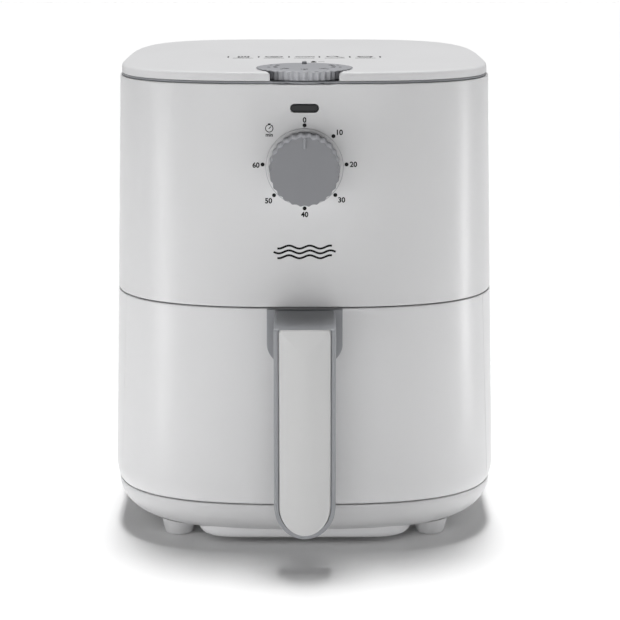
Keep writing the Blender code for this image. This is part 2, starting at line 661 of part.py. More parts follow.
def drawer():
    """Everything that comes out with the drawer."""
    low = BASE_SEAM + HALF_SEAM
    high = DRAWER_SEAM - HALF_SEAM
    steps = [(inset, low + rise) for inset, rise in WALL_FOOT] + [(0, high), (FLANGE, high)]
    steps += [(FLANGE, high - FLANGE_WALL), (SHELL, high - FLANGE_WALL), (SHELL, low + FLANGE_FOOT)]
    steps += [(FLANGE, low + FLANGE_FOOT), (FLANGE, low)]
    front = piece("drawer_front", lofted([body_ring(*step) for step in steps], wrapped=True), WHITE)
    back_room = ((-0.2, DRAWER_BACK - 0.0002, 0), (0.2, 0.2, 0.3))
    cut(front, box_piece("drawer_front_back", *back_room, None, helper=True))
    outside, inside = INNER_WALL
    foot, head = INNER_HEIGHTS
    steps = ((outside, foot), (outside, head), (inside, head), (inside, foot))
    inner = piece("drawer_inner", lofted([body_ring(*step) for step in steps], wrapped=True), WHITE)
    back_room = ((-0.2, DRAWER_BACK - 0.0006, 0), (0.2, 0.2, 0.3))
    cut(inner, box_piece("drawer_inner_back", *back_room, None, helper=True))

    half, corner = BRACKET_HALF, BRACKET_CORNER
    points = [(-half, BRACKET_TOP), (-half, BRACKET_BOTTOM + corner)]
    for step in range(1, 5):
        angle = math.pi / 2 * step / 4
        across, up = corner * (1 - math.cos(angle)), corner * (1 - math.sin(angle))
        points.append((-half + across, BRACKET_BOTTOM + up))
    points += [(-x, z) for x, z in points[::-1]]
    plate = outline_solid(points, -BRACKET_BACK, -BRACKET_FACE)
    bracket = bevelled(piece("handle_bracket", plate, GREY), 0.0008)

    top = COVER_TOP + 0.0004
    neck = -BRACKET_FACE - GAP
    side = [(neck, BRACKET_TOP - 0.0002), (-0.1285, top + 0.0006), (-0.1318, top - 0.0002)]
    side += [(-GRIP_FACE + 0.0004, top - 0.0014), (-GRIP_FACE, top - 0.003), (-GRIP_FACE, GRIP_BOTTOM)]
    side += [(-GRIP_FACE + 0.0008, GRIP_BOTTOM - 0.001), (-GRIP_BACK - 0.003, GRIP_BOTTOM - 0.001)]
    side += [(-GRIP_BACK, 0.030), (-GRIP_BACK, 0.1300), (-0.1200, 0.1352), (-0.1165, 0.1390)]
    side += [(-0.1110, 0.1410), (neck, 0.1425)]
    grip = piece("handle_grip", outline_solid(side, -GRIP_HALF, GRIP_HALF, "side"), GREY)
    shape = tongue(GRIP_HALF, 0.17, GRIP_BOTTOM, GRIP_END, 0.001)
    combined(grip, piece("grip_outline", outline_solid(shape, -0.15, -0.09), None, helper=True), "INTERSECT")
    shape = tongue(INSERT_HALF, COVER_TOP, INSERT_BOTTOM, INSERT_END, INSERT_CORNER, -GAP)
    cut(grip, piece("grip_well", outline_solid(shape, -0.15, -INSERT_BACK + GAP), None, helper=True))
    rings = []
    steps = ((0, None), (0, INSERT_EDGE), (0.0003, 0.0004), (INSERT_EDGE, 0), (0.006, 0), (0.012, 0))
    for inset, back in steps:
        ring = []
        for x, z in tongue(INSERT_HALF, COVER_TOP, INSERT_BOTTOM, INSERT_END, INSERT_CORNER, inset):
            face = -HANDLE_FRONT + INSERT_BULGE * (x / INSERT_HALF) ** 2
            ring.append(Vector((x, -INSERT_BACK if back is None else face + back, z)))
        rings.append(ring)
    piece("handle_cover", lofted(rings), WHITE)

    for name, x in (("left", -SCREW_X), ("right", SCREW_X)):
        profile = [(0, 0.0135), (SCREW_RADIUS, 0.0135), (SCREW_RADIUS, 0.002), (0.0036, 0.002)]
        profile += [(0.0036, 0.0008), (0.0026, 0), (0, 0)]
        turned(f"handle_screw_{name}", profile, STEEL, (x, -0.0825, SCREW_HEIGHT), 24, True)
        hole = ((x, -0.0964, SCREW_HEIGHT), (x, -0.08, SCREW_HEIGHT))
        passage = rod_piece(f"screw_hole_{name}", SCREW_RADIUS + GAP, *hole, None, helper=True, count=16)
        cut(front, passage)
        cut(inner, passage)
        cut(bracket, passage)

    wall = BOWL_WALL
    floor_half, top_half = BOWL_FLOOR_HALF, BOWL_HALF
    steps = [(floor_half, wall + 0.006, wall), (floor_half, wall + 0.0015, 0.0035)]
    steps.append((floor_half, wall - 0.0003, 0.0085))
    high = BOWL_TOP - BOWL_BOTTOM
    steps += [(top_half, wall, high), (top_half, -BOWL_LIP, high), (top_half, -BOWL_LIP, high - wall)]
    steps += [(top_half, 0, high - wall), (floor_half, -0.0003, 0.0085), (floor_half, 0.0013, 0.0028)]
    steps += [(floor_half, 0.0055, 0)]
    rings = []
    for half, inset, z in steps:
        drawn_in = [side - inset for side in half]
        rings.append(oval_ring(drawn_in, BOWL_BOTTOM + z, BOWL_DEPTH, BOWL_POWER, BOWL_POINTS))
    piece("drawer_bowl", lofted(rings), COATING)

    base = (0, BOWL_DEPTH, TRAY_TOP)
    steps = [(0.0035, 0), (0.0008, 0.0010), (0, 0.0030), (0, TRAY_RIM), (TRAY_WALL, TRAY_RIM)]
    steps += [(TRAY_WALL, 0.0033), (TRAY_WALL + 0.003, TRAY_WALL)]
    rings = []
    for inset, drop in steps:
        half = [side - inset for side in TRAY_HALF]
        rings.append(oval_ring(half, TRAY_TOP - drop, BOWL_DEPTH, BOWL_POWER, BOWL_POINTS))
    tray = piece("crisper_tray", lofted(rings), COATING, base)
    slots = bmesh.new()
    for row in range(SLOT_ROWS):
        for column in range(SLOT_ROWS):
            x = (column - (SLOT_ROWS - 1) / 2) * SLOT_PITCH[0]
            y = (row - (SLOT_ROWS - 1) / 2) * SLOT_PITCH[1]
            if abs(x) > 0.06 and abs(y) > 0.065:
                continue
            across, along = SLOT_SIZE if (row + column) % 2 else SLOT_SIZE[::-1]
            size = Matrix.Diagonal((across, along, 0.02, 1))
            place = Matrix.Translation((x, BOWL_DEPTH + y, TRAY_TOP))
            bmesh.ops.create_cube(slots, size=1, matrix=place @ size)
    cut(tray, piece("tray_slots", slots, None, base, helper=True))
    for name, x, y in (("left", -1, 0), ("right", 1, 0), ("front", 0, -1), ("rear", 0, 1)):
        reach = TRAY_HALF[1] if y else TRAY_HALF[0]
        out = Vector((x, y, 0))
        across = Vector((abs(y), abs(x), 0)) * BUMPER_HALF
        near = out * (reach + GAP)
        far = out * (reach + BUMPER_REACH)
        corners = (near - across, near + across, far - across, far + across)
        low = Vector([min(corner[i] for corner in corners) for i in range(3)])
        high = Vector([max(corner[i] for corner in corners) for i in range(3)])
        shift = Vector((0, BOWL_DEPTH, 0))
        low += shift + Vector((0, 0, TRAY_TOP - BUMPER_DROPS[0]))
        high += shift + Vector((0, 0, TRAY_TOP - BUMPER_DROPS[1]))
        bevelled(box_piece(f"tray_bumper_{name}", low, high, SILICONE, base), 0.0006)


def bay():
    """The fixed walls that the drawer slides between."""
    outline = [(-BAY_HALF, DRAWER_BACK + 0.0015)]
    back = BAY_BACK - BOWL_DEPTH
    for step in range(17):
        angle = math.pi * (1 - step / 16)
        cosine, sine = math.cos(angle), math.sin(angle)
        x = math.copysign(BAY_HALF * abs(cosine) ** (2 / BOWL_POWER), cosine)
        outline.append((x, BOWL_DEPTH + back * abs(sine) ** (2 / BOWL_POWER)))
    outline.append((BAY_HALF, DRAWER_BACK + 0.0015))
    floor = outline_solid(outline, *BAY_FLOOR, "top")
    piece("bay_floor", floor, STEEL)
    bm = bmesh.new()
    rows = [[bm.verts.new((x, y, z)) for x, y in outline] for z in (BAY_FLOOR[1] + GAP, CEILING - GAP)]
    for i in range(len(outline) - 1):
        bm.faces.new((rows[0][i], rows[0][i + 1], rows[1][i + 1], rows[1][i]))
    liner = piece("bay_liner", bm, ALUMINIUM)
    modified(liner, "SOLIDIFY", thickness=BAY_WALL, offset=-1, use_even_offset=True)
    for name, side in (("left", -1), ("right", 1)):
        ends = sorted(side * x for x in RAIL_X)
        top = BOWL_TOP - BOWL_WALL - GAP
        low = (ends[0], DRAWER_BACK + 0.003, top - RAIL_HEIGHT)
        high = (ends[1], RAIL_BACK, top)
        bevelled(box_piece(f"drawer_rail_{name}", low, high, STEEL), 0.0004, 1)
    rings = [body_ring(0.0032, z) for z in (CEILING, CEILING + 0.0015)]
    ceiling = piece("chamber_ceiling", lofted(rings), STEEL)
    hole = ((0, HEATER_DEPTH, CEILING - 0.01), (0, HEATER_DEPTH, CEILING + 0.01))
    cut(ceiling, rod_piece("ceiling_hole", 0.088, *hole, None, helper=True, count=64))

    switch = bevelled(box_piece("microswitch_body", *SWITCH_CASE, BLACK), 0.0005, 1)
    pivot = (SWITCH_X, SWITCH_CASE[0][1], SWITCH_HEIGHT)
    hole = ((SWITCH_X, -0.0445, SWITCH_HEIGHT), (SWITCH_X, -0.036, SWITCH_HEIGHT))
    cut(switch, rod_piece("plunger_hole", PLUNGER_RADIUS + GAP, *hole, None, helper=True, count=16))
    plunger = [(SWITCH_X, depth, SWITCH_HEIGHT) for depth in PLUNGER_DEPTHS]
    rod_piece("switch_plunger", PLUNGER_RADIUS, *plunger, NYLON, pivot, count=16)


def heater():
    """Heating element, air path, motor and its two fans."""
    axis = (0, HEATER_DEPTH)
    foot = CEILING + 0.0015 + GAP
    wall = 0.0009
    profile = [(0.005, DOME_TOP), (DOME_RADIUS - 0.006, DOME_TOP), (DOME_RADIUS, DOME_TOP - 0.006)]
    profile += [(DOME_RADIUS, foot + wall), (DOME_RADIUS + 0.006, foot + wall), (DOME_RADIUS + 0.006, foot)]
    profile += [(DOME_RADIUS - wall, foot), (DOME_RADIUS - wall, DOME_TOP - 0.0064)]
    profile += [(DOME_RADIUS - 0.0064, DOME_TOP - wall), (0.005, DOME_TOP - wall)]
    dome = turned("heater_dome", profile, ALUMINIUM, (*axis, 0), 40)

    points = []
    outer, inner = ELEMENT_RADII
    start_angle = math.radians(8)
    ends = ((outer, start_angle), (inner, start_angle))
    points.append((outer, start_angle, DOME_TOP + 0.0022))
    points.append((outer, start_angle, ELEMENT_HEIGHT + 0.005))
    for step in range(ELEMENT_STEPS + 1):
        angle = start_angle + math.radians(4) + (math.tau - math.radians(24)) * step / ELEMENT_STEPS
        points.append((outer, angle, ELEMENT_HEIGHT))
    middle = (outer + inner) / 2
    points.append((middle, start_angle + math.tau - math.radians(14), ELEMENT_HEIGHT))
    for step in range(ELEMENT_STEPS + 1):
        angle = start_angle + math.radians(4) + (math.tau - math.radians(24)) * (1 - step / ELEMENT_STEPS)
        points.append((inner, angle, ELEMENT_HEIGHT))
    points.append((inner, start_angle, ELEMENT_HEIGHT + 0.005))
    points.append((inner, start_angle, DOME_TOP + 0.0022))
    curve = bpy.data.curves.new("heating_element", "CURVE")
    curve.dimensions = "3D"
    curve.bevel_depth = ELEMENT_TUBE
    curve.bevel_resolution = 2
    curve.use_fill_caps = True
    spline = curve.splines.new("POLY")
    spline.points.add(len(points) - 1)
    for point, (radius, angle, z) in zip(spline.points, points):
        point.co = (radius * math.cos(angle), radius * math.sin(angle), z, 1)
    placed("heating_element", curve, ELEMENT, (*axis, 0))
    for number, (radius, angle) in enumerate(ends):
        x, y = radius * math.cos(angle), HEATER_DEPTH + radius * math.sin(angle)
        hole = ((x, y, DOME_TOP - 0.01), (x, y, DOME_TOP + 0.01))
        cut(dome, rod_piece(f"element_hole_{number}", ELEMENT_TUBE + 0.001, *hole, None, helper=True, count=16))

    low, high = GUARD_FOOT, CEILING - GAP
    inside, outside = GUARD_RIM
    profile = [(inside, high), (outside, high), (outside, low), (inside, low)]
    guard = turned("element_guard", profile, STEEL, (*axis, 0), 36)
    for number, radius in enumerate(GUARD_RINGS):
        inside, outside = radius - 0.001, radius + 0.001
        profile = [(inside, high - 0.0002), (outside, high - 0.0002), (outside, low), (inside, low)]
        join(guard, turned(f"guard_ring_{number}", profile, None, (*axis, 0), 28, helper=True))
    for number in range(3):
        angle = math.pi * number / 3
        bm = block((-0.0912, -0.0009, low + 0.0003), (0.0912, 0.0009, high - 0.0005))
        bmesh.ops.rotate(bm, verts=bm.verts, matrix=Matrix.Rotation(angle, 3, "Z"))
        bmesh.ops.translate(bm, verts=bm.verts, vec=(*axis, 0))
        join(guard, piece(f"guard_bar_{number}", bm, None, (*axis, 0), helper=True))

    fan("convection_fan", *CONVECTION_FAN, ALUMINIUM)
    fan("cooling_fan", *COOLING_FAN, NYLON)
    shaft = [(*axis, end) for end in SHAFT_ENDS]
    rod_piece("motor_shaft", SPINDLE_RADIUS, *shaft, STEEL, (*axis, 0.2))
    plate_top = MOTOR_PLATE + PLATE_THICK
    near, far = PLATE_CORNERS
    plate = box_piece("motor_plate", (*near, MOTOR_PLATE), (*far, plate_top), STEEL)
    hole = ((*axis, 0.19), (*axis, 0.21))
    cut(plate, rod_piece("plate_hole", 0.006, *hole, None, helper=True))
    profile = [(0, MOTOR_TOP), (MOTOR_RADIUS - 0.001, MOTOR_TOP), (MOTOR_RADIUS, MOTOR_TOP - 0.001)]
    bore, end = SPINDLE_RADIUS + 0.0005, SHAFT_ENDS[1] + 0.001
    profile += [(MOTOR_RADIUS, MOTOR_FOOT), (bore, MOTOR_FOOT), (bore, end), (0, end)]
    turned("motor_body", profile, STEEL, (*axis, 0), 32)
    low, high = plate_top + GAP, MOTOR_TOP + GAP
    near, far = HEATER_DEPTH - STRAP_HALF, HEATER_DEPTH + STRAP_HALF
    inside, outside = STRAP_X
    strap = ((-outside, near, high), (outside, far, high + STRAP_THICK))
    bracket = box_piece("motor_bracket", *strap, STEEL)
    for name, side in (("left", -1), ("right", 1)):
        upright = sorted((side * inside, side * outside))
        toe = sorted((side * inside, side * STRAP_TOE))
        corners = ((upright[0], near, low), (upright[1], far, high + 0.0005))
        join(bracket, box_piece(f"bracket_upright_{name}", *corners, None, helper=True))
        corners = ((toe[0], near, low), (toe[1], far, low + STRAP_THICK))
        join(bracket, box_piece(f"bracket_toe_{name}", *corners, None, helper=True))

    foot = plate_top + GAP
    box_piece("thermal_fuse", (0.050, 0.060, foot), (0.056, 0.085, 0.2095), BRASS)
    block_box = ((-0.080, 0.070, foot), (-0.050, 0.098, 0.2155))
    bevelled(box_piece("terminal_block", *block_box, NYLON), 0.0008, 1)
    duct = box_piece("exhaust_duct", *DUCT, STEEL)
    (left, near, low), (right, far, high) = DUCT
    bore = ((left + DUCT_WALL, 0.12, low + DUCT_WALL), (right - DUCT_WALL, 0.18, high - DUCT_WALL))
    cut(duct, box_piece("duct_bore", *bore, None, helper=True))


def fan(name, radius, low, high, blades, hub, spec):
    """A flat-bladed fan: hub, back plate and curved-back blades."""
    centre = (0, HEATER_DEPTH)
    pivot = (*centre, (low + high) / 2)
    hub_piece = piece(name, rod(hub, (*centre, low), (*centre, high), 24), spec, pivot)
    plate = rod(radius, (*centre, high - 0.0012), (*centre, high - 0.0002), 40)
    join(hub_piece, piece(f"{name}_plate", plate, None, pivot, helper=True))
    for number in range(blades):
        bm = block((hub - 0.002, -0.0006, low + 0.001), (radius - 0.001, 0.0006, high - 0.0008))
        lean = Matrix.Rotation(math.radians(18), 3, "Z")
        bmesh.ops.rotate(bm, verts=bm.verts, cent=(hub, 0, 0), matrix=lean)
        bmesh.ops.rotate(bm, verts=bm.verts, matrix=Matrix.Rotation(math.tau * number / blades, 3, "Z"))
        bmesh.ops.translate(bm, verts=bm.verts, vec=(*centre, 0))
        join(hub_piece, piece(f"{name}_blade_{number}", bm, None, pivot, helper=True))
    bore = ((*centre, low - 0.01), (*centre, high + 0.01))
    cut(hub_piece, rod_piece(f"{name}_bore", SPINDLE_RADIUS + GAP, *bore, None, pivot, helper=True))


start()
shells()
controls()
drawer()
bay()
heater()
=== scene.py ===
"""The looks of the basket air fryer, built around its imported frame."""

import json
import math

import bmesh
import bpy
import numpy as np
from mathutils import Matrix, Vector


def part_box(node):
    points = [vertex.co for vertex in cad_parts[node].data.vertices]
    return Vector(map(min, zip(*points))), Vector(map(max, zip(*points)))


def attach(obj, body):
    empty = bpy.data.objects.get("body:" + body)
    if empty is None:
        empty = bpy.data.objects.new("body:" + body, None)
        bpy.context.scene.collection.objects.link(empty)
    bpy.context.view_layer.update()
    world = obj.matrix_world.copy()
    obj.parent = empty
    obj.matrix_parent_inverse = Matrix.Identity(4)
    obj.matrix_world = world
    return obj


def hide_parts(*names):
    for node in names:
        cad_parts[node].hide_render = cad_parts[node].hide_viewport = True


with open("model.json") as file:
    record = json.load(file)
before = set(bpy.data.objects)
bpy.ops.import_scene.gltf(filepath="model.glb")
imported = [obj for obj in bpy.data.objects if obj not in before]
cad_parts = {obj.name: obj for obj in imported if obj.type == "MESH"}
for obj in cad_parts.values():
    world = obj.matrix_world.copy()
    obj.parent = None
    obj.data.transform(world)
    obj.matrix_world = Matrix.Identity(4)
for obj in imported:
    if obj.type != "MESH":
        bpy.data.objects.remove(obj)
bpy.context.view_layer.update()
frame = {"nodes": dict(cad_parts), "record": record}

# Lengths are in metres. Heights are from the floor, depths from the body's widest line, front negative.
HANDLE_FRONT = 0.137
BACK_DEPTH = 0.1754
WIDE_LINE = (HANDLE_FRONT - BACK_DEPTH) / 2
BASE_SEAM = (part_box("base_tub")[1].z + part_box("rear_shell")[0].z) / 2
DRAWER_SEAM = (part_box("rear_shell")[1].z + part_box("upper_housing")[0].z) / 2
HOUSING_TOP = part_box("upper_housing")[1].z
LID_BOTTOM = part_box("lid_cover")[0].z
LID_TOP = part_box("lid_cover")[1].z
HALF_SEAM = (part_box("rear_shell")[0].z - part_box("base_tub")[1].z) / 2

# The body's plan: half width with its draft, and the depth and curve of the front at three heights.
HALF_WIDTH = 0.129
SIDE_DRAFT = 0.0296
BACK_POWER = 3.9
FRONT_HEIGHTS = (0.033, 0.1627, 0.3061)
FRONT_DEPTHS = (0.0985, 0.0925, 0.091)
FRONT_POWERS = (2.8, 2.73, 3.0)

# Mesh making: points round the body, points in a curve before they are spaced evenly, the sharpest
# smooth edge in degrees, and the most of an edge that a rounded corner may take.
AROUND = 280
FINE = 2400
SHARP_ANGLE = 34
MOST_OF_EDGE = 0.46
POINTS_PER_GROOVE = 12
GAP = 0.0003

# Shells. The wall's foot: where it begins, how tall it is, how far it draws in, and how fast.
SHELL = 0.0024
WALL_FOOT = (0.0455, 0.012, 0.0020, 2.4)
DRAWER_BACK = -0.048
DRAWER_FLANGE = 0.012
INNER_WALL = ((0.005, 0.007), (0.037, 0.1598))
INNER_WALL_ROUND = 0.0006

# Base tub, bottom cover and feet. Sections are (inset, height), and (radius, height, fillet) for a foot.
BASE_INSET = 0.0021
BASE_BOTTOM = 0.007
BASE_CURVE = 0.034
BASE_FLAT = (0.0345, 0.036)
WELL_HALF = (0.0732, 0.0955)
COVER_HALF = (0.0725, 0.0948)
COVER_MIDDLE = 0.0153
COVER_POWER = 8
COVER_SECTION = (
    (0.0125, 0.0058), (0.0045, 0.0058), (0.0026, 0.0072), (0.0024, 0.015), (0, 0.015), (0, 0.009),
    (0.0002, 0.0075), (0.0007, 0.0062), (0.0016, 0.0050), (0.0028, 0.0041), (0.0042, 0.0037),
    (0.0056, 0.0036), (0.009, 0.0036),
)
FOOT_ACROSS = 0.0845
FOOT_FRONT = -0.051
FOOT_REAR = 0.118
FOOT_PROFILE = ((0.0001, 0.022, 0), (0.0143, 0.022, 0), (0.0091, 0, 0.0016), (0.0001, 0, 0))

# Lid, with the notch and the well for the dial, and the grey trim under it.
LID_FLOOR = 0.3092
LID_INSET = 0.001
LID_ROUND = 0.0018
NOTCH_HALF = 0.0216
NOTCH_FLARE = (0.0033, 0.0023)
DIAL_WELL = 0.0256
FRAME_INSETS = (0.0015, 0.003, 0.006)
FRAME_FOOT = 0.298
COLLAR_ROOM = 0.0264
COLLAR_SECTION = ((0.0036, 0.3059, 0), (0.026, 0.3059, 0.0003), (0.026, 0.3047, 0.0003), (0.0036, 0.3047, 0))

# Back: the slots of the grille, and the cable gland, whose holes are (radius, depth, points round).
VENT_SLOT = (0.0145, 0.0042)
VENT_ROWS = 2
VENT_COLUMNS = 11
VENT_STEP = (0.0084, 0.018)
GLAND = Vector((0.05, 0.1601, 0.052))
GLAND_HOLES = ((0.007, 0.02, 48), (0.0093, -0.013, 64))
GLAND_SECTION = (
    (0.0034, 0.0149, 0.0004), (0.009, 0.0149, 0.0006), (0.009, 0.0133, 0.0002), (0.0064, 0.0133, 0),
    (0.0064, 0, 0), (0.0034, 0, 0),
)

# Timer knob: rings are (radius, groove depth, height), and the steps of a mark (inset, rise).
TIMER = Vector((0, -0.0933, 0.2529))
KNOB_REACH = 0.0214
KNOB_GROOVES = 26
KNOB_RADIUS = 0.0224
KNOB_DRAFT = 0.0007
KNOB_DIP = 0.0009
KNOB_FACE_RADIUS = 0.0217
KNOB_EDGE = 0.0006
KNOB_FOOT = ((0.0180, 0, 0), (0.0220, 0.0006, 0), (0.0224, 0.0008, 0.0005))
KNOB_FACE = ((0.0208, 0.0008), (0.0202, 0.0004), (0.0192, 0))
KNOB_MARK = (0.0059, 0.0017)
KNOB_MARK_UP = 0.01725
KNOB_MARK_STEPS = ((0, -0.0005), (0, 0.0008), (0.0002, 0.0011), (0.0005, 0.0012))
BEZEL_DEPTH = -0.0921
BEZEL_SECTION = ((0.0045, 0.0008, 0), (0.024, 0.0008, 0.0004), (0.024, -0.0001, 0), (0.0045, -0.0001, 0))
SPINDLE_PASSAGE = 0.0045

# Indicator lens: its size, then (inset, how far back) over its edge.
LENS = (0.0175, 0.0050)
LENS_HEIGHT = 0.2894
LENS_FACE = 0.0909
LENS_STEPS = ((0, 0.0041), (0, 0.0004), (0.0002, 0.0001), (0.0006, 0), (0.0014, 0))

# Temperature dial: rings up its fluted side, then (radius, how far below the top) over its face.
DIAL = Vector((0, -0.066, LID_TOP))
DIAL_AXIS = (0, DIAL.y, 0)
DIAL_TOP = 0.3131
DIAL_GROOVES = 36
DIAL_SIDE = (
    (0.0205, 0, 0.3062), (0.0247, 0.0008, 0.3062), (0.0250, 0.0011, 0.3065), (0.0250, 0.0011, 0.308),
    (0.0250, 0.0011, 0.3100), (0.0250, 0.0011, 0.3116), (0.0250, 0.0011, 0.3119), (0.0256, 0.0010, 0.31202),
    (0.0290, 0.0009, 0.31202), (0.0304, 0.0010, 0.31205), (0.0306, 0.0011, 0.3122),
    (0.0306, 0.0011, 0.3124), (0.0303, 0.0009, 0.31262), (0.0292, 0.0003, 0.31272),
)
DIAL_FACE = ((0.0268, 0.00012), (0.0261, 0.00003), (0.0257, 0), (0.0250, 0), (0.01, 0))
DIAL_MARK = (0.0073, 0.0030)
DIAL_MARK_BACK = 0.01885
DIAL_MARK_STEPS = ((0, -0.0004), (0, 0.0011), (0.0002, 0.0014), (0.0005, 0.0015))

# Handle: the grip's side view, then (half width, top, foot, foot curve, corner) of the pale insert and
# of its room, and (half width, foot, top, corner) of the bracket with (inset, rise) over its edge.
GRIP_HALF = 0.0193
GRIP_FOOT = 0.0225
GRIP_END = 0.0215
GRIP_EDGE = 0.0014
GRIP_ROOT = -0.0976
GRIP_FRONT = -0.1344
GRIP_BACK = -0.1215
INSERT = (0.0164, 0.1577, 0.0255, 0.019, 0.002)
INSERT_ROOM = (0.0167, 0.1580, 0.0252, 0.0193, 0.0022)
INSERT_FLOOR = -0.1323
INSERT_BACK = -0.1326
INSERT_BULGE = 0.0030
INSERT_EDGE = 0.0011
BRACKET = (0.0241, 0.1266, 0.1621, 0.013)
BRACKET_STEPS = (
    (0, 0.0002), (0, 0.0020), (0.0001, 0.0023), (0.0003, 0.0025), (0.001, 0.0026), (0.003, 0.0026),
)

# Bowl and crisper tray.
BOWL_MIDDLE = 0.029
BOWL_POWER = 3.6
TRAY_SLOT = (0.0128, 0.005)
TRAY_ROWS = 7
TRAY_STEP = (0.0222, 0.0235)
TRAY_CORNER = (0.06, 0.065)

# Printed marks. The timer's are (minutes, degrees from the top, across, height of the number).
PRINT_THICK = 0.00003
SCALE_RADIUS = 0.0263
SCALE_DOT = 0.00125
SCALE_TOP_DROP = 0.0004
TIMER_MARKS = (
    ("0", 0, 0, 0.2822), ("10", 43.2, 0.0220, 0.2744), ("20", 87, 0.0306, 0.2543),
    ("30", 132.9, 0.0233, 0.2319), ("40", 180, 0, 0.2227), ("50", 226.8, -0.0226, 0.2314),
    ("60", 273, -0.0304, 0.2539),
)
CLOCK = (-0.022, 0.2769)
CLOCK_LINE = 0.0006
# half length, spacing, height, wave height, line width
EMBLEM = (0.0196, 0.0031, 0.1988, 0.00095, 0.0013)
EMBLEM_TAPER = 0.12
EMBLEM_TURNS = 480
FOOD_STEP = 0.0205
FOOD_SCALE = 1.5
LID_LINE = 0.0010
# half length, width, across, depth
THERMOMETER = (
    (0.0018, 0.0050, 0.0061, -0.0200), (0.0010, 0.0100, 0.0061, -0.0180), (0.002, 0.0010, 0.0112, -0.0170),
)
DIAL_STEP = 38
DIAL_DOTS = 0.0232
DIAL_NUMBERS = 0.0188

# Studio. The overhead light in parts: strength, and how far back from the vertical each lies, degrees.
WORLD_LIGHT = 0.04
FLOOR_HALF = 6
OVERHEAD = ((0.63, 3), (1.98, 9), (0.7, 14))
OVERHEAD_SPREAD = 14
AREA_LIGHTS = (
    ("front_panel", 17.6, 3.0, 0.4, (-0.4, -2.95, 0.23), (0, 0, 0.2)),
    ("left_strip", 0.43, 0.12, 0.26, (-0.465, -0.270, 0.135), (-0.093, -0.075, 0.10)),
    ("right_strip", 0.5, 0.08, 0.26, (0.527, -0.068, 0.135), (0.107, -0.05, 0.10)),
)
LENS_LENGTH = 111.1
EYE_ACROSS = -0.002
EYE_DISTANCE = 1.2795
EYE_HEIGHT = 0.4234
EYE_DOWN = 12.45
EYE_TURN = -0.26

slots = {row["node"]: row["material_slot"] for row in frame["record"]["subparts"]}


# ---------------------------------------------------------------- materials


def linear(red, green, blue):
    """A colour given in screen values, as light."""
    values = [value / 255 for value in (red, green, blue)]
    return [v / 12.92 if v <= 0.04045 else ((v + 0.055) / 1.055) ** 2.4 for v in values] + [1]


class Surface:
    """A node material with small helpers for textures."""

    def __init__(self, name, roughness, metallic=0.0, specular=0.5):
        self.material = bpy.data.materials.new(name)
        self.material.use_nodes = True
        self.nodes = self.material.node_tree.nodes
        self.links = self.material.node_tree.links
        self.shader = self.nodes["Principled BSDF"]
        self.shader.inputs["Roughness"].default_value = roughness
        self.shader.inputs["Metallic"].default_value = metallic
        self.shader.inputs["Specular IOR Level"].default_value = specular
        self.place = self.nodes.new("ShaderNodeTexCoord").outputs["Object"]
        self.normal = None

    def noise(self, scale, detail, stretch=None, rough=0.5):
        source = self.place
        if stretch:
            mapping = self.nodes.new("ShaderNodeMapping")
            mapping.inputs["Scale"].default_value = stretch
            self.links.new(self.place, mapping.inputs["Vector"])
            source = mapping.outputs["Vector"]
        texture = self.nodes.new("ShaderNodeTexNoise")
        texture.inputs["Scale"].default_value = scale
        texture.inputs["Detail"].default_value = detail
        texture.inputs["Roughness"].default_value = rough
        self.links.new(source, texture.inputs["Vector"])
        return texture.outputs["Fac"]

    def ranged(self, value, low, high, from_low=0.3, from_high=0.7):
        """A texture's value spread between two limits."""
        node = self.nodes.new("ShaderNodeMapRange")
        node.inputs["From Min"].default_value = from_low
        node.inputs["From Max"].default_value = from_high
        node.inputs["To Min"].default_value = low
        node.inputs["To Max"].default_value = high
        self.links.new(value, node.inputs["Value"])
        return node.outputs["Result"]

    def mixed(self, value, first, second):
        node = self.nodes.new("ShaderNodeMix")
        node.data_type = "RGBA"
        self.links.new(value, node.inputs["Factor"])
        node.inputs["A"].default_value = first
        node.inputs["B"].default_value = second
        return node.outputs["Result"]

    def bump(self, value, strength, distance):
        node = self.nodes.new("ShaderNodeBump")
        node.inputs["Strength"].default_value = strength
        node.inputs["Distance"].default_value = distance
        self.links.new(value, node.inputs["Height"])
        if self.normal:
            self.links.new(self.normal, node.inputs["Normal"])
        self.normal = node.outputs["Normal"]
        self.links.new(self.normal, self.shader.inputs["Normal"])

    def set(self, socket, output):
        self.links.new(output, self.shader.inputs[socket])


def tinted(colour, factor):
    return [min(1, channel * factor) for channel in colour[:3]] + [1]


def plastic(name, colour, roughness, grain, relief, spread, specular=0.5):
    """Moulded plastic: spark-eroded grain, slightly uneven gloss and tone."""
    surface = Surface(name, roughness, specular=specular)
    tone = surface.ranged(surface.noise(9, 3), 0, 1)
    surface.set("Base Color", surface.mixed(tone, tinted(colour, 1 - spread), tinted(colour, 1 + spread)))
    gloss = surface.ranged(surface.noise(26, 4), roughness - 0.03, roughness + 0.03)
    surface.set("Roughness", gloss)
    surface.bump(surface.noise(grain, 3, rough=0.6), relief, 0.0002)
    return surface.material


def metal(name, colour, roughness, stretch):
    """Rolled sheet: fine drawn lines, cloudy gloss."""
    surface = Surface(name, roughness, metallic=1.0)
    lines = surface.noise(60, 4, stretch=stretch)
    tone = surface.ranged(lines, 0, 1)
    surface.set("Base Color", surface.mixed(tone, tinted(colour, 0.86), tinted(colour, 1.08)))
    cloud = surface.noise(14, 4)
    surface.set("Roughness", surface.ranged(cloud, roughness - 0.05, roughness + 0.08))
    surface.bump(lines, 0.25, 0.0001)
    return surface.material


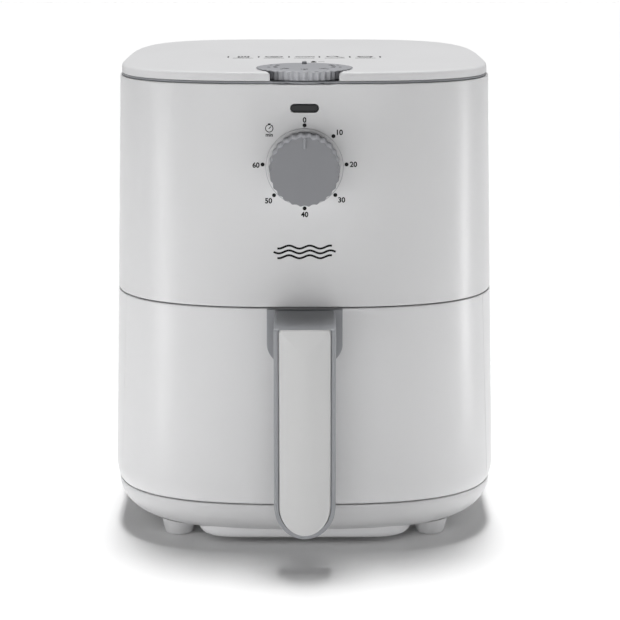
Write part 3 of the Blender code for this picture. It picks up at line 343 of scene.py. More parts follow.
def coating():
    """Non-stick coating: near black with fine pale flecks and an orange-peel surface."""
    surface = Surface("nonstick_look", 0.42)
    cells = surface.nodes.new("ShaderNodeTexVoronoi")
    cells.inputs["Scale"].default_value = 900
    surface.links.new(surface.place, cells.inputs["Vector"])
    fleck = surface.ranged(cells.outputs["Distance"], 1, 0, 0.12, 0.2)
    surface.set("Base Color", surface.mixed(fleck, (0.022, 0.022, 0.024, 1), (0.10, 0.10, 0.105, 1)))
    surface.set("Roughness", surface.ranged(surface.noise(40, 4), 0.34, 0.5))
    surface.bump(surface.noise(420, 3), 0.25, 0.0003)
    return surface.material


def make_materials():
    """A look per slot, and paler and darker ones for single pieces; the paler whites are painted light."""
    looks = {
        "body_white": plastic("body_white_look", linear(216, 216, 217), 0.32, 2600, 0.05, 0.006),
        "trim_grey": plastic("trim_grey_look", linear(148, 150, 154), 0.42, 2400, 0.12, 0.02),
        "knob_grey": plastic("knob_grey_look", linear(132, 133, 137), 0.45, 2400, 0.12, 0.02),
        "lens_dark": plastic("lens_dark_look", linear(26, 27, 29), 0.33, 1200, 0.01, 0.05, 0.25),
        "phenolic_black": plastic("phenolic_look", linear(34, 34, 35), 0.5, 1800, 0.2, 0.06),
        "silicone_black": plastic("silicone_look", linear(28, 28, 29), 0.7, 1500, 0.2, 0.08),
        "white_nylon": plastic("nylon_look", linear(222, 220, 212), 0.5, 1500, 0.12, 0.03),
        "nonstick_coating": coating(),
        "galvanised_steel": metal("steel_look", (0.56, 0.57, 0.58, 1), 0.34, (1, 30, 1)),
        "aluminium": metal("aluminium_look", (0.74, 0.75, 0.76, 1), 0.36, (30, 1, 1)),
        "element_sheath": metal("element_look", (0.17, 0.17, 0.16, 1), 0.45, (3, 3, 3)),
        "brass": metal("brass_look", (0.72, 0.53, 0.25, 1), 0.34, (1, 1, 20)),
    }
    # Painted light: a paler copy of the body white, so the lid top's brightness is set apart from the lamps.
    looks["lid_lit_white"] = plastic("lid_lit_white_look", linear(223, 223, 224), 0.5, 2600, 0.05, 0.006, 0.2)
    # Painted light: a paler copy of the body white for the lower shells, standing in for floor-bounce light.
    looks["lower_lit_white"] = plastic("lower_lit_white_look", linear(221, 221, 222), 0.32, 2600, 0.05, 0.006)
    looks["base_white"] = plastic("base_white_look", linear(212, 212, 213), 0.36, 2600, 0.05, 0.006)
    # Painted light: a much paler copy of the body white that lifts the bottom cover out of its shade.
    looks["skirt_lit_white"] = plastic("skirt_lit_white_look", linear(240, 240, 241), 0.4, 2600, 0.05, 0.006)
    looks["dial_grey"] = plastic("dial_grey_look", linear(176, 177, 181), 0.42, 2400, 0.12, 0.02)
    looks["print_dark"] = plastic("print_dark_look", linear(40, 41, 44), 0.55, 3000, 0.02, 0.05)
    looks["print_black"] = plastic("print_black_look", linear(5, 5, 6), 0.5, 3000, 0.02, 0.05, 0.2)
    looks["insert_white"] = plastic("insert_white_look", linear(210, 210, 210), 0.32, 2600, 0.04, 0.006)
    return looks


looks = make_materials()

# ---------------------------------------------------------------- mesh helpers


def body_section(height, inset):
    """Half width, front depth and front curve of the body's outline at a height."""
    half = HALF_WIDTH - SIDE_DRAFT * (height - FRONT_HEIGHTS[0]) - inset
    front = np.interp(height, FRONT_HEIGHTS, FRONT_DEPTHS) - inset
    return half, front, np.interp(height, FRONT_HEIGHTS, FRONT_POWERS)


def squared(values, power):
    """A sine or cosine pushed out toward the corners of a superellipse."""
    return np.sign(values) * np.abs(values) ** (2 / power)


def columns(x, y, z):
    """Points from their coordinates, any of which may be one number for them all."""
    return np.stack(np.broadcast_arrays(x, y, z), axis=1)


def plan_points(angles, inset, height):
    """Points of the body's outline, drawn in by the inset, at these angles."""
    half, front, power = body_section(height, inset)
    cosine, sine = np.cos(angles), np.sin(angles)
    behind = sine >= 0
    powers = np.where(behind, BACK_POWER, power)
    reach = np.where(behind, BACK_DEPTH - inset, front)
    return columns(half * squared(cosine, powers), reach * squared(sine, powers), height)


def evenly(points, count, closed):
    """The same curve with its points at even distances."""
    if closed:
        points = np.vstack([points, points[:1]])
    steps = np.linalg.norm(np.diff(points, axis=0), axis=1)
    along = np.concatenate([[0], np.cumsum(steps)])
    stops = np.linspace(0, along[-1], count + 1 if closed else count)
    placed = np.stack([np.interp(stops, along, points[:, k]) for k in range(3)], axis=1)
    return placed[:-1] if closed else placed


def body_rings(section):
    """The body's whole outline at each (inset, height) of a section."""
    angles = np.linspace(0, math.tau, FINE, endpoint=False)
    return [evenly(plan_points(angles, inset, height), AROUND, True) for inset, height in section]


def body_span(inset, height, cut, behind, count):
    """The part of the outline in front of, or behind, a plane across the body."""
    _, front, power = body_section(height, inset)
    turn = math.asin((abs(cut) / front) ** (power / 2))
    limits = (-turn, math.pi + turn) if behind else (-turn, turn - math.pi)
    return evenly(plan_points(np.linspace(*limits, FINE), inset, height), count, False)


def span_mesh(name, section, cut, behind, count):
    """A wall that follows the outline on one side of a plane across the body."""
    rows = [body_span(inset, height, cut, behind, count) for inset, height in section]
    return grid_mesh(name, rows, wrap_rows=True, wrap_columns=False)


def oval(half, depth_half, middle, power, height, count):
    """A superellipse ring, centred across the body."""
    angles = np.linspace(0, math.tau, FINE, endpoint=False)
    x = half * squared(np.cos(angles), power)
    y = middle + depth_half * squared(np.sin(angles), power)
    return evenly(columns(x, y, height), count, True)


def rounded(profile, steps=5, support=0.0005):
    """A closed profile of (x, z, radius) with its corners made round, and a point held close to each arc."""
    made = []
    count = len(profile)
    for i, (x, z, radius) in enumerate(profile):
        corner = np.array((x, z), float)
        if radius == 0:
            made.append(corner)
            continue
        before = np.array(profile[i - 1][:2], float) - corner
        after = np.array(profile[(i + 1) % count][:2], float) - corner
        long_before, long_after = np.linalg.norm(before), np.linalg.norm(after)
        before, after = before / long_before, after / long_after
        half_angle = math.acos(np.clip(before @ after, -1, 1)) / 2
        longest = MOST_OF_EDGE * long_before, MOST_OF_EDGE * long_after
        reach = min(radius / math.tan(half_angle), *longest)
        radius = reach * math.tan(half_angle)
        inward = (before + after) / np.linalg.norm(before + after)
        centre = corner + inward * radius / math.sin(half_angle)
        first, last = corner + before * reach - centre, corner + after * reach - centre
        sweep = math.acos(np.clip(first @ last / radius**2, -1, 1))
        if reach + support < 0.5 * long_before:
            made.append(corner + before * (reach + support))
        for step in range(steps + 1):
            share = step / steps
            arm = math.sin((1 - share) * sweep) * first + math.sin(share * sweep) * last
            made.append(centre + arm / math.sin(sweep))
        if reach + support < 0.5 * long_after:
            made.append(corner + after * (reach + support))
    return made


def quarter(radius, count, start=0.0):
    """How far in and how far down a quarter-round edge lies, step by step."""
    angles = np.linspace(start, math.pi / 2, count)
    return [(radius * (1 - math.cos(angle)), radius * (1 - math.sin(angle))) for angle in angles]


def link(obj):
    bpy.context.scene.collection.objects.link(obj)
    return obj


def linked(obj):
    """The object, linked to the scene if it isn't yet."""
    return obj if obj.name in bpy.context.scene.collection.objects else link(obj)


def smooth(mesh, angle=SHARP_ANGLE):
    mesh.shade_smooth()
    mesh.set_sharp_from_angle(angle=math.radians(angle))


def solid(name, points, faces):
    """An object over points measured from the widest line, with its faces turned outward."""
    mesh = bpy.data.meshes.new(name)
    mesh.from_pydata((points + np.array((0, WIDE_LINE, 0))).tolist(), [], faces)
    bm = bmesh.new()
    bm.from_mesh(mesh)
    bmesh.ops.recalc_face_normals(bm, faces=bm.faces)
    bm.to_mesh(mesh)
    bm.free()
    return bpy.data.objects.new(name, mesh)


def grid_mesh(name, rows, wrap_rows=False, wrap_columns=True):
    """A skin over rows of points: the rows may join up, and so may each row's ends."""
    count = len(rows[0])
    faces = []
    for r in range(len(rows) if wrap_rows else len(rows) - 1):
        low, high = r * count, ((r + 1) % len(rows)) * count
        for c in range(count if wrap_columns else count - 1):
            d = (c + 1) % count
            faces.append((low + c, low + d, high + d, high + c))
    if not wrap_rows:
        faces.append(tuple(range(count)))
        faces.append(tuple((len(rows) - 1) * count + c for c in range(count)))
    if not wrap_columns:
        faces.append(tuple(r * count for r in range(len(rows))))
        faces.append(tuple(r * count + count - 1 for r in range(len(rows))))
    obj = solid(name, np.concatenate(rows), faces)
    smooth(obj.data)
    return obj


def applied(obj):
    """The object with its modifiers worked into its mesh."""
    linked(obj)
    bpy.context.view_layer.update()
    graph = bpy.context.evaluated_depsgraph_get()
    mesh = bpy.data.meshes.new_from_object(obj.evaluated_get(graph))
    obj.modifiers.clear()
    obj.data = mesh
    smooth(mesh)
    return obj


def cut_by(obj, cutter):
    """The object with the cutter's shape taken out of it."""
    link(cutter)
    linked(obj)
    modifier = obj.modifiers.new("Cut", "BOOLEAN")
    modifier.operation = "DIFFERENCE"
    modifier.object = cutter
    modifier.solver = "EXACT"
    applied(obj)
    bpy.data.objects.remove(cutter)


def bevelled(obj, width, segments):
    modifier = obj.modifiers.new("Edge", "BEVEL")
    modifier.width = width
    modifier.segments = segments
    modifier.limit_method = "ANGLE"
    modifier.angle_limit = math.radians(SHARP_ANGLE)
    applied(obj)


def show(obj, body, nodes, look=None, slot=None):
    """The piece takes its place on a body, its look, and the CAD nodes that it stands for."""
    linked(obj)
    nodes = [nodes] if isinstance(nodes, str) else list(nodes)
    slot = slot or (slots[nodes[0]] if nodes else "body_white")
    obj.data.materials.clear()
    obj.data.materials.append(looks[look or slot])
    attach(obj, body)
    if nodes:
        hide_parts(*nodes)


def placed_rows(name, rows, origin, toward_front=False, ring=False):
    """Rows drawn about a local axis, stood at the origin with the axis up or out of the front."""
    placed = []
    for row in rows:
        x, y, z = row[:, 0], row[:, 1], row[:, 2]
        placed.append((columns(x, -z, y) if toward_front else row) + np.array(origin))
    return grid_mesh(name, placed, wrap_rows=ring)


def turned(name, profile, origin, toward_front=False, count=96, ring=False):
    """(radius, height) points swept about an axis through the origin, with a hole along it for a ring."""
    angles = np.linspace(0, math.tau, count, endpoint=False)
    cosine, sine = np.cos(angles), np.sin(angles)
    rows = [columns(radius * cosine, radius * sine, height) for radius, height in profile]
    return placed_rows(name, rows, origin, toward_front, ring)


def front_depth(x, height):
    """Depth of the body's front surface at a point of the front view."""
    half, front, power = body_section(height, 0)
    return -front * (1 - np.abs(np.asarray(x) / half) ** power) ** (1 / power)


def filleted(profile):
    """The points of a rounded profile as plain pairs."""
    return [(float(p[0]), float(p[1])) for p in rounded(profile)]


def stadium(width, height, middle=0.0, inset=0.0):
    """Front view of a slot shape: straight sides and half-round ends, as (x, z)."""
    radius = height / 2 - inset
    reach = (width - height) / 2
    turn = np.linspace(-math.pi / 2, math.pi / 2, 16)
    right = np.stack([reach + radius * np.cos(turn), middle + radius * np.sin(turn)], axis=1)
    left = np.stack([-reach - radius * np.cos(turn), middle - radius * np.sin(turn)], axis=1)
    return np.vstack([right, left])


def through(name, outline, near, far):
    """A front-view outline carried from one depth to another, as a cutter."""
    return grid_mesh(name, [columns(outline[:, 0], y, outline[:, 1]) for y in (near, far)])


def box_mesh(name, low, high):
    bm = bmesh.new()
    size = high - low
    middle = (high + low) / 2
    bmesh.ops.create_cube(bm, size=1, matrix=Matrix.Translation(middle) @ Matrix.Diagonal((*size, 1)))
    mesh = bpy.data.meshes.new(name)
    bm.to_mesh(mesh)
    bm.free()
    return bpy.data.objects.new(name, mesh)


# ---------------------------------------------------------------- outer shells


def wall_foot(height):
    """How far the lower wall is drawn in as it rounds under, near the base seam."""
    top, reach, drawn, power = WALL_FOOT
    return drawn * np.clip((top - height) / reach, 0, 1) ** power


def lower_profile(bottom, top, flange):
    """Closed section of the lower wall: outside up, then back down the inside."""
    foot, plain, ledge = wall_foot(bottom), 0.046, 0.0024
    first = [(foot + 0.0007, bottom), (foot + 0.00015, bottom + 0.00015)]
    outside = [(wall_foot(z), z) for z in np.linspace(bottom + 0.0006, plain, 14)]
    column = [(0, z) for z in np.linspace(0.06, top - 0.002, 6)]
    lip = [(0, top - 0.0008), (0.0001, top - 0.0003), (0.0004, top - 0.00005), (0.0008, top)]
    if flange:
        back = [(flange, top), (flange, top - 0.002), (SHELL, top - 0.002), (SHELL, bottom + 0.004)]
        back += [(SHELL + 0.001, bottom + ledge), (flange, bottom + ledge), (flange, bottom)]
    else:
        back = [(SHELL, top), (SHELL, plain), (SHELL + 0.0014, bottom + 0.001), (SHELL + 0.0018, bottom)]
    return first + outside + column + lip + back


def lower_shells():
    bottom = BASE_SEAM + HALF_SEAM
    top = DRAWER_SEAM - HALF_SEAM
    rear = span_mesh("rear_wall", lower_profile(bottom, top, 0), DRAWER_BACK + 0.0002, True, 260)
    for radius, depth, count in GLAND_HOLES:
        cut_by(rear, turned("gland_room", [(radius, depth), (radius, -0.05)], GLAND, True, count))
    # Both lower shells take the paler white that paints in floor-bounce light.
    show(rear, "housing", "rear_shell", "lower_lit_white")

    section = lower_profile(bottom, top, DRAWER_FLANGE)
    front = span_mesh("drawer_panel", section, DRAWER_BACK - 0.0002, False, 220)
    show(front, "drawer", "drawer_front", "lower_lit_white")
    (near, far), (low, high) = INNER_WALL
    corners = ((near, low), (near, high), (far, high), (far, low))
    section = rounded([(inset, z, INNER_WALL_ROUND) for inset, z in corners])
    inner = span_mesh("drawer_inner_wall", section, DRAWER_BACK - 0.0006, False, 160)
    show(inner, "drawer", "drawer_inner")


def upper_shell():
    bottom = DRAWER_SEAM + HALF_SEAM
    shelf, shelf_top = 0.007, bottom + 0.002
    section = [(0, bottom, 0.0006), (0, HOUSING_TOP, 0.0005), (SHELL, HOUSING_TOP, 0.0005)]
    section += [(SHELL, shelf_top, 0.001), (shelf, shelf_top, 0.0005), (shelf, bottom, 0.0005)]
    points = rounded(section)
    outside = [(0, z) for z in np.linspace(bottom + 0.01, HOUSING_TOP - 0.01, 12)]
    split = next(i for i, p in enumerate(points) if p[0] == 0 and p[1] > 0.25)
    points = points[:split] + outside + points[split:]
    housing = grid_mesh("upper_wall", body_rings(points), wrap_rows=True)
    opening = stadium(*[side + 2 * GAP for side in LENS], LENS_HEIGHT)
    cut_by(housing, through("lens_passage", opening, -0.1, -0.08))
    passage = [(SPINDLE_PASSAGE, -0.02), (SPINDLE_PASSAGE, 0.02)]
    cut_by(housing, turned("spindle_passage", passage, TIMER, True, 48))
    low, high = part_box("exhaust_grille")
    grow = Vector((0.0004, 0.02, 0.0004))
    cut_by(housing, box_mesh("vent_passage", low - grow, high + grow))
    show(housing, "housing", "upper_housing")


def base():
    seam = BASE_SEAM - HALF_SEAM
    edge = seam - 0.0006
    inside, low = BASE_INSET + SHELL, BASE_BOTTOM
    outer, inner = [], []
    for angle in np.linspace(0, math.pi / 2, 22):
        curve = BASE_CURVE * (1 - math.cos(angle))
        outer.append((BASE_INSET + curve, edge - (edge - low) * math.sin(angle)))
        inner.append((inside + curve, seam - (seam - low - SHELL) * math.sin(angle)))
    rim = [(inside, seam), (0.0027, seam), (0.00225, seam - 0.00018)]
    flat_in = [(inside + reach, low + SHELL) for reach in BASE_FLAT[::-1]]
    flat_out = [(BASE_INSET + reach, low) for reach in BASE_FLAT]
    section = flat_in + inner[::-1] + rim + outer + flat_out
    tub = grid_mesh("base_dish", body_rings(section))
    rows = [oval(*WELL_HALF, COVER_MIDDLE, COVER_POWER, z, 240) for z in (0.001, 0.02)]
    cut_by(tub, grid_mesh("cover_well", rows))
    show(tub, "housing", "base_tub", "base_white")

    across, along = COVER_HALF
    rows = [oval(across - i, along - i, COVER_MIDDLE, COVER_POWER, z, 240) for i, z in COVER_SECTION]
    # The bottom cover takes the paler white that paints out its shade.
    show(grid_mesh("bottom_plate", rows), "housing", "bottom_cover", "skirt_lit_white")
    feet(outer)


def feet(tub_section):
    """Four tapered feet, hollowed where the tub sits down into them."""
    room = [(0.0018, 0.05)] + [(inset - GAP, z - GAP) for inset, z in tub_section]
    for node in ("foot_front_left", "foot_front_right", "foot_rear_left", "foot_rear_right"):
        low_corner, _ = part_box(node)
        x = math.copysign(FOOT_ACROSS, low_corner.x)
        y = FOOT_FRONT if low_corner.y < 0 else FOOT_REAR
        foot = turned(node + "_look", filleted(FOOT_PROFILE), (x, y, 0))
        cut_by(foot, grid_mesh("tub_room", body_rings(room)))
        show(foot, "housing", node)


def lid():
    inside = 0.0034
    section = [(inside, LID_FLOOR), (inside, LID_BOTTOM + 0.0003), (0.0031, LID_BOTTOM)]
    section += [(0.0014, LID_BOTTOM), (LID_INSET, LID_BOTTOM + 0.0004), (LID_INSET, LID_BOTTOM + 0.0012)]
    section += [(LID_INSET, LID_TOP - LID_ROUND - 0.0004)]
    section += [(LID_INSET + across, LID_TOP - up) for across, up in quarter(LID_ROUND, 9)]
    section += [(0.0015 + LID_ROUND, LID_TOP), (0.010, LID_TOP)]
    cover = grid_mesh("lid_top", body_rings(section))

    flare_across, flare_up = NOTCH_FLARE
    outline = [(NOTCH_HALF, 0.30)]
    for angle in np.linspace(0, math.pi / 2, 12):
        x = NOTCH_HALF + flare_across * (1 - math.cos(angle))
        outline.append((x, LID_TOP - flare_up + flare_up * math.sin(angle)))
    outline = np.array(outline + [(NOTCH_HALF + flare_across, 0.32)])
    outline = np.vstack([outline, outline[::-1] * np.array((-1, 1))])
    cut_by(cover, through("dial_notch", outline, -0.12, DIAL.y))
    cut_by(cover, turned("dial_well", [(DIAL_WELL, 0.30), (DIAL_WELL, 0.32)], DIAL_AXIS))
    # The lid takes the paler white that paints in its light.
    show(cover, "housing", "lid_cover", "lid_lit_white")


def top_trim():
    """The grey frame in the gap under the lid, and the collar under the dial."""
    low, high = HOUSING_TOP + GAP, LID_BOTTOM - GAP
    outside, step, inside = FRAME_INSETS
    corners = [(outside, low, 0.0002), (outside, high, 0.0002), (inside, high, 0)]
    corners += [(inside, FRAME_FOOT, 0), (step, FRAME_FOOT, 0), (step, low, 0)]
    ring = grid_mesh("frame_ring", body_rings(rounded(corners)), wrap_rows=True)
    room = [(COLLAR_ROOM, HOUSING_TOP + 0.0001), (COLLAR_ROOM, 0.32)]
    cut_by(ring, turned("collar_room", room, DIAL_AXIS))
    show(ring, "housing", "top_frame")
    collar = turned("collar_look", filleted(COLLAR_SECTION), DIAL_AXIS, ring=True)
    show(collar, "housing", "dial_collar")


def rear_fittings():
    low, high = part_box("exhaust_grille")
    middle = (low.z + high.z) / 2
    grille = link(box_mesh("grille_plate", low, high))
    shape = stadium(*VENT_SLOT)
    for row in range(VENT_ROWS):
        for column in range(VENT_COLUMNS):
            x = (column - (VENT_COLUMNS - 1) / 2) * VENT_STEP[0] + shape[:, 1]
            z = middle + (row - (VENT_ROWS - 1) / 2) * VENT_STEP[1] + shape[:, 0]
            cut_by(grille, grid_mesh("slot", [columns(x, y, z) for y in (0.15, 0.19)]))
    bevelled(grille, 0.0004, 2)
    show(grille, "housing", "exhaust_grille")
    profile = [(r, -z) for r, z in filleted(GLAND_SECTION)]
    show(turned("gland_look", profile, GLAND, True, 64, ring=True), "housing", "cable_gland")


# ---------------------------------------------------------------- controls


def scalloped(section, number):
    """Rings with rounded finger grooves, from (radius, groove depth, height)."""
    angles = np.linspace(0, math.tau, number * POINTS_PER_GROOVE, endpoint=False)
    wave = 0.5 - 0.5 * np.cos(number * angles)
    rows = []
    for radius, dip, height in section:
        reach = radius - dip * wave
        rows.append(columns(reach * np.cos(angles), reach * np.sin(angles), height))
    return rows


def timer_knob():
    section = list(KNOB_FOOT)
    for z in np.linspace(0.002, KNOB_REACH - 0.0010, 6):
        section.append((KNOB_RADIUS - KNOB_DRAFT * z / KNOB_REACH, KNOB_DIP, z))
    for across, down in quarter(KNOB_EDGE, 7, 0.1):
        section.append((KNOB_FACE_RADIUS - across, KNOB_DIP, KNOB_REACH - down))
    section += [(radius, dip, KNOB_REACH) for radius, dip in KNOB_FACE]
    knob = placed_rows("timer_grip", scalloped(section, KNOB_GROOVES), TIMER, True)
    show(knob, "timer", "timer_knob")

    rows = []
    for inset, rise in KNOB_MARK_STEPS:
        shape = stadium(*KNOB_MARK, inset=inset)
        z = TIMER.z + KNOB_MARK_UP + shape[:, 0]
        rows.append(columns(shape[:, 1], TIMER.y - KNOB_REACH - rise, z))
    show(grid_mesh("timer_mark", rows), "timer", (), "trim_grey", "trim_grey")
    place = (0, BEZEL_DEPTH, TIMER.z)
    bezel = turned("timer_ring", filleted(BEZEL_SECTION), place, True, 128, ring=True)
    show(bezel, "housing", "timer_bezel")


def indicator():
    rows = []
    for inset, back in LENS_STEPS:
        outline = stadium(*LENS, LENS_HEIGHT, inset)
        rows.append(columns(outline[:, 0], back - LENS_FACE, outline[:, 1]))
    show(grid_mesh("lens_look", rows), "housing", "indicator_lens")


def temperature_dial():
    section = DIAL_SIDE + tuple((radius, 0, DIAL_TOP - down) for radius, down in DIAL_FACE)
    dial = placed_rows("dial_grip", scalloped(section, DIAL_GROOVES), DIAL_AXIS)
    show(dial, "dial", "temperature_dial", "dial_grey")
    rows = []
    for inset, rise in DIAL_MARK_STEPS:
        shape = stadium(*DIAL_MARK, inset=inset)
        rows.append(columns(shape[:, 1], DIAL.y + DIAL_MARK_BACK + shape[:, 0], DIAL_TOP + rise))
    show(grid_mesh("dial_pointer", rows), "dial", (), "trim_grey", "trim_grey")


# ---------------------------------------------------------------- handle


def tongue(half, top, bottom, end, corner, inset=0.0):
    """Front view of the handle: a half-oval foot, straight sides and softened upper corners, as (x, z)."""
    half, top, end = half - inset, top - inset, end - inset
    corner = max(corner - inset, 0.0002)
    turn = np.linspace(math.pi, math.tau, 40)
    foot = np.stack([half * np.cos(turn), bottom + inset + end + end * np.sin(turn)], axis=1)
    turn = np.linspace(0, math.pi / 2, 8)
    right = np.stack([half - corner + corner * np.cos(turn), top - corner + corner * np.sin(turn)], axis=1)
    left = np.stack([-right[::-1, 0], right[::-1, 1]], axis=1)
    return np.vstack([foot, right, left])


def drawn_in(outline, distance):
    """A closed outline moved inward along its own normals."""
    before, after = np.roll(outline, 1, axis=0), np.roll(outline, -1, axis=0)
    along = after - before
    along /= np.linalg.norm(along, axis=1)[:, None]
    inward = np.stack([-along[:, 1], along[:, 0]], axis=1)
    area = np.sum(outline[:, 0] * after[:, 1] - after[:, 0] * outline[:, 1])
    return outline + inward * distance * (1 if area > 0 else -1)


def handle_grip():
    rows = []
    for lean in np.linspace(-math.pi / 2, math.pi / 2, 96):
        x = GRIP_HALF * math.sin(lean)
        low = GRIP_FOOT + GRIP_END * (1 - math.cos(lean))
        beyond = max(0, abs(x) - (GRIP_HALF - GRIP_EDGE)) / GRIP_EDGE
        drawn = GRIP_EDGE * (1 - math.sqrt(max(0, 1 - beyond**2)))
        side = [(GRIP_ROOT, 0.1619, 0), (GRIP_FRONT, 0.1581, 0.0014), (GRIP_FRONT, low, 0.0009)]
        side += [(GRIP_BACK, low, 0.004), (GRIP_BACK, 0.1425, 0.010), (GRIP_ROOT, 0.1428, 0)]
        outline = np.array(rounded(side, 8, 0.0006))
        shape = drawn_in(outline, drawn)
        shape[outline[:, 0] > GRIP_ROOT - 0.0001, 0] = GRIP_ROOT
        rows.append(columns(x, shape[:, 0], shape[:, 1]))
    grip = grid_mesh("grip_look", rows)
    link(grip)
    cut_by(grip, through("insert_room", tongue(*INSERT_ROOM), -0.15, INSERT_FLOOR))
    show(grip, "drawer", "handle_grip")


def handle_insert():
    """The pale crowned tongue let into the front of the grip."""
    half = INSERT[0]
    steps = [(0, 0.0034), (0, INSERT_EDGE)] + quarter(INSERT_EDGE, 7, 0.25)
    steps += [(inset, 0) for inset in (0.0014, 0.0025, 0.0045, 0.007, 0.010, 0.013, 0.0158)]
    rows = []
    for inset, back in steps:
        outline = tongue(*INSERT, inset)
        y = INSERT_BULGE * (outline[:, 0] / half) ** 2 + back - HANDLE_FRONT
        rows.append(columns(outline[:, 0], np.minimum(y, INSERT_BACK), outline[:, 1]))
    show(grid_mesh("insert_look", rows), "drawer", "handle_cover", "insert_white")


def handle_bracket():
    half, low, top, corner = BRACKET
    corners = [(-half, top, 0.0005), (-half, low, corner), (half, low, corner), (half, top, 0.0005)]
    outline = np.array(rounded(corners, 12, 0.001))
    middle, tall = np.array((0, (low + top) / 2)), (top - low) / 2
    rows = []
    for inset, rise in BRACKET_STEPS:
        scale = np.array(((half - inset) / half, (tall - inset) / tall))
        shape = middle + (outline - middle) * scale
        rows.append(columns(shape[:, 0], front_depth(shape[:, 0], shape[:, 1]) - rise, shape[:, 1]))
    show(grid_mesh("bracket_look", rows), "drawer", "handle_bracket")


# ---------------------------------------------------------------- bowl and tray


def bowl():
    top, bottom, wall, corner = 0.1562, 0.044, 0.0014, 0.011
    upper, lower = np.array((0.098, 0.105)), np.array((0.090, 0.097))
    outside, inside = [], []
    for angle in np.linspace(math.pi / 2, 0.08, 9):
        across, up = 1 - math.cos(angle), 1 - math.sin(angle)
        inner = corner - wall
        outside.append((lower - corner * across, bottom + corner * up))
        inside.append((lower - wall - inner * across, bottom + wall + inner * up))
    for share in np.linspace(0.12, 0.97, 8):
        half = lower + (upper - lower) * share
        z = bottom + corner + (top - 0.002 - bottom - corner) * share
        outside.append((half, z))
        inside.append((half - wall, z))
    lip = [(upper + 0.0002, top - wall), (upper + 0.0032, top - wall), (upper + 0.004, top - wall * 0.8)]
    lip += [(upper + 0.004, top - wall * 0.2), (upper + 0.0032, top), (upper + 0.0008, top)]
    lip += [(upper - wall, top - 0.0012)]
    flat = (lower - corner - 0.004, lower - corner - 0.001)
    flat_out = [(half, bottom) for half in flat]
    flat_in = [(half, bottom + wall) for half in flat[::-1]]
    section = flat_out + outside + lip + inside[::-1] + flat_in
    rows = [oval(*half, BOWL_MIDDLE, BOWL_POWER, z, 220) for half, z in section]
    show(grid_mesh("bowl_look", rows), "drawer", "drawer_bowl")


def tray():
    low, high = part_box("crisper_tray")
    across, along = (high.x - low.x) / 2, (high.y - low.y) / 2
    middle = (high.y + low.y) / 2 - WIDE_LINE
    foot = high.z - low.z
    section = [(0.012, 0), (0.0045, 0), (0.0030, 0.0002), (0.0014, 0.001), (0.0004, 0.0022), (0, 0.0036)]
    section += [(0, foot), (0.0012, foot), (0.0012, 0.0038), (0.0018, 0.0026), (0.003, 0.0015)]
    section += [(0.0046, 0.0012), (0.012, 0.0012)]
    rows = [oval(across - i, along - i, middle, BOWL_POWER, high.z - down, 200) for i, down in section]
    plate = grid_mesh("tray_look", rows)
    link(plate)
    shape = stadium(*TRAY_SLOT)
    for row in range(TRAY_ROWS):
        for column in range(TRAY_ROWS):
            x = (column - (TRAY_ROWS - 1) / 2) * TRAY_STEP[0]
            y = (row - (TRAY_ROWS - 1) / 2) * TRAY_STEP[1]
            if abs(x) > TRAY_CORNER[0] and abs(y) > TRAY_CORNER[1]:
                continue
            u, v = shape.T if (row + column) % 2 else shape.T[::-1]
            cut_by(plate, grid_mesh("slot", [columns(x + u, middle + y + v, z) for z in (0.05, 0.07)]))
    show(plate, "tray", "crisper_tray")


# ---------------------------------------------------------------- printed marks


def flat_text(words, height, weight):
    """Letters as a thin solid in the (u, v) plane, centred, with this cap height."""
    curve = bpy.data.curves.new("words", "FONT")
    curve.body = words
    curve.extrude = 0.02
    curve.offset = weight
    curve.resolution_u = 4
    obj = link(bpy.data.objects.new("words", curve))
    bpy.context.view_layer.update()
    mesh = bpy.data.meshes.new_from_object(obj.evaluated_get(bpy.context.evaluated_depsgraph_get()))
    bpy.data.objects.remove(obj)
    points = np.array([vertex.co for vertex in mesh.vertices])
    faces = [tuple(polygon.vertices) for polygon in mesh.polygons]
    bpy.data.meshes.remove(mesh)
    low, high = points.min(axis=0), points.max(axis=0)
    flat = (points - (low + high) / 2) * height / (high[1] - low[1])
    flat[:, 2] = np.sign(points[:, 2])
    return flat, faces


def prism(outline):
    """A flat outline as a thin solid."""
    count = len(outline)
    points = np.vstack([np.column_stack([outline, np.full(count, side)]) for side in (-1.0, 1.0)])
    faces = [tuple(range(count))[::-1], tuple(range(count, 2 * count))]
    faces += [(i, (i + 1) % count, count + (i + 1) % count, count + i) for i in range(count)]
    return points, faces


def disc(radius, count=24):
    turn = np.linspace(0, math.tau, count, endpoint=False)
    return prism(np.stack([radius * np.cos(turn), radius * np.sin(turn)], axis=1))


def stroke(path, width):
    """A line of even width along a path, as a thin solid."""
    path = np.asarray(path, float)
    along = np.gradient(path, axis=0)
    along /= np.linalg.norm(along, axis=1)[:, None]
    across = np.stack([-along[:, 1], along[:, 0]], axis=1) * width / 2
    return prism(np.vstack([path + across, (path - across)[::-1]]))


def dash(half, width):
    """A level line, this far to each side."""
    return stroke([(-half, 0), (half, 0)], width)


def ring_stroke(radius, width, count=40):
    """A thin circle line, as a thin solid."""
    turn = np.linspace(0, math.tau, count, endpoint=False)
    points, faces = [], []
    for side in (-1.0, 1.0):
        for reach in (radius - width / 2, radius + width / 2):
            points += [(reach * math.cos(a), reach * math.sin(a), side) for a in turn]
    for i in range(count):
        j = (i + 1) % count
        faces.append((i, j, count + j, count + i))
        faces.append((2 * count + i, 3 * count + i, 3 * count + j, 2 * count + j))
        faces.append((i, 2 * count + i, 2 * count + j, j))
        faces.append((count + i, count + j, 3 * count + j, 3 * count + i))
    return np.array(points), faces


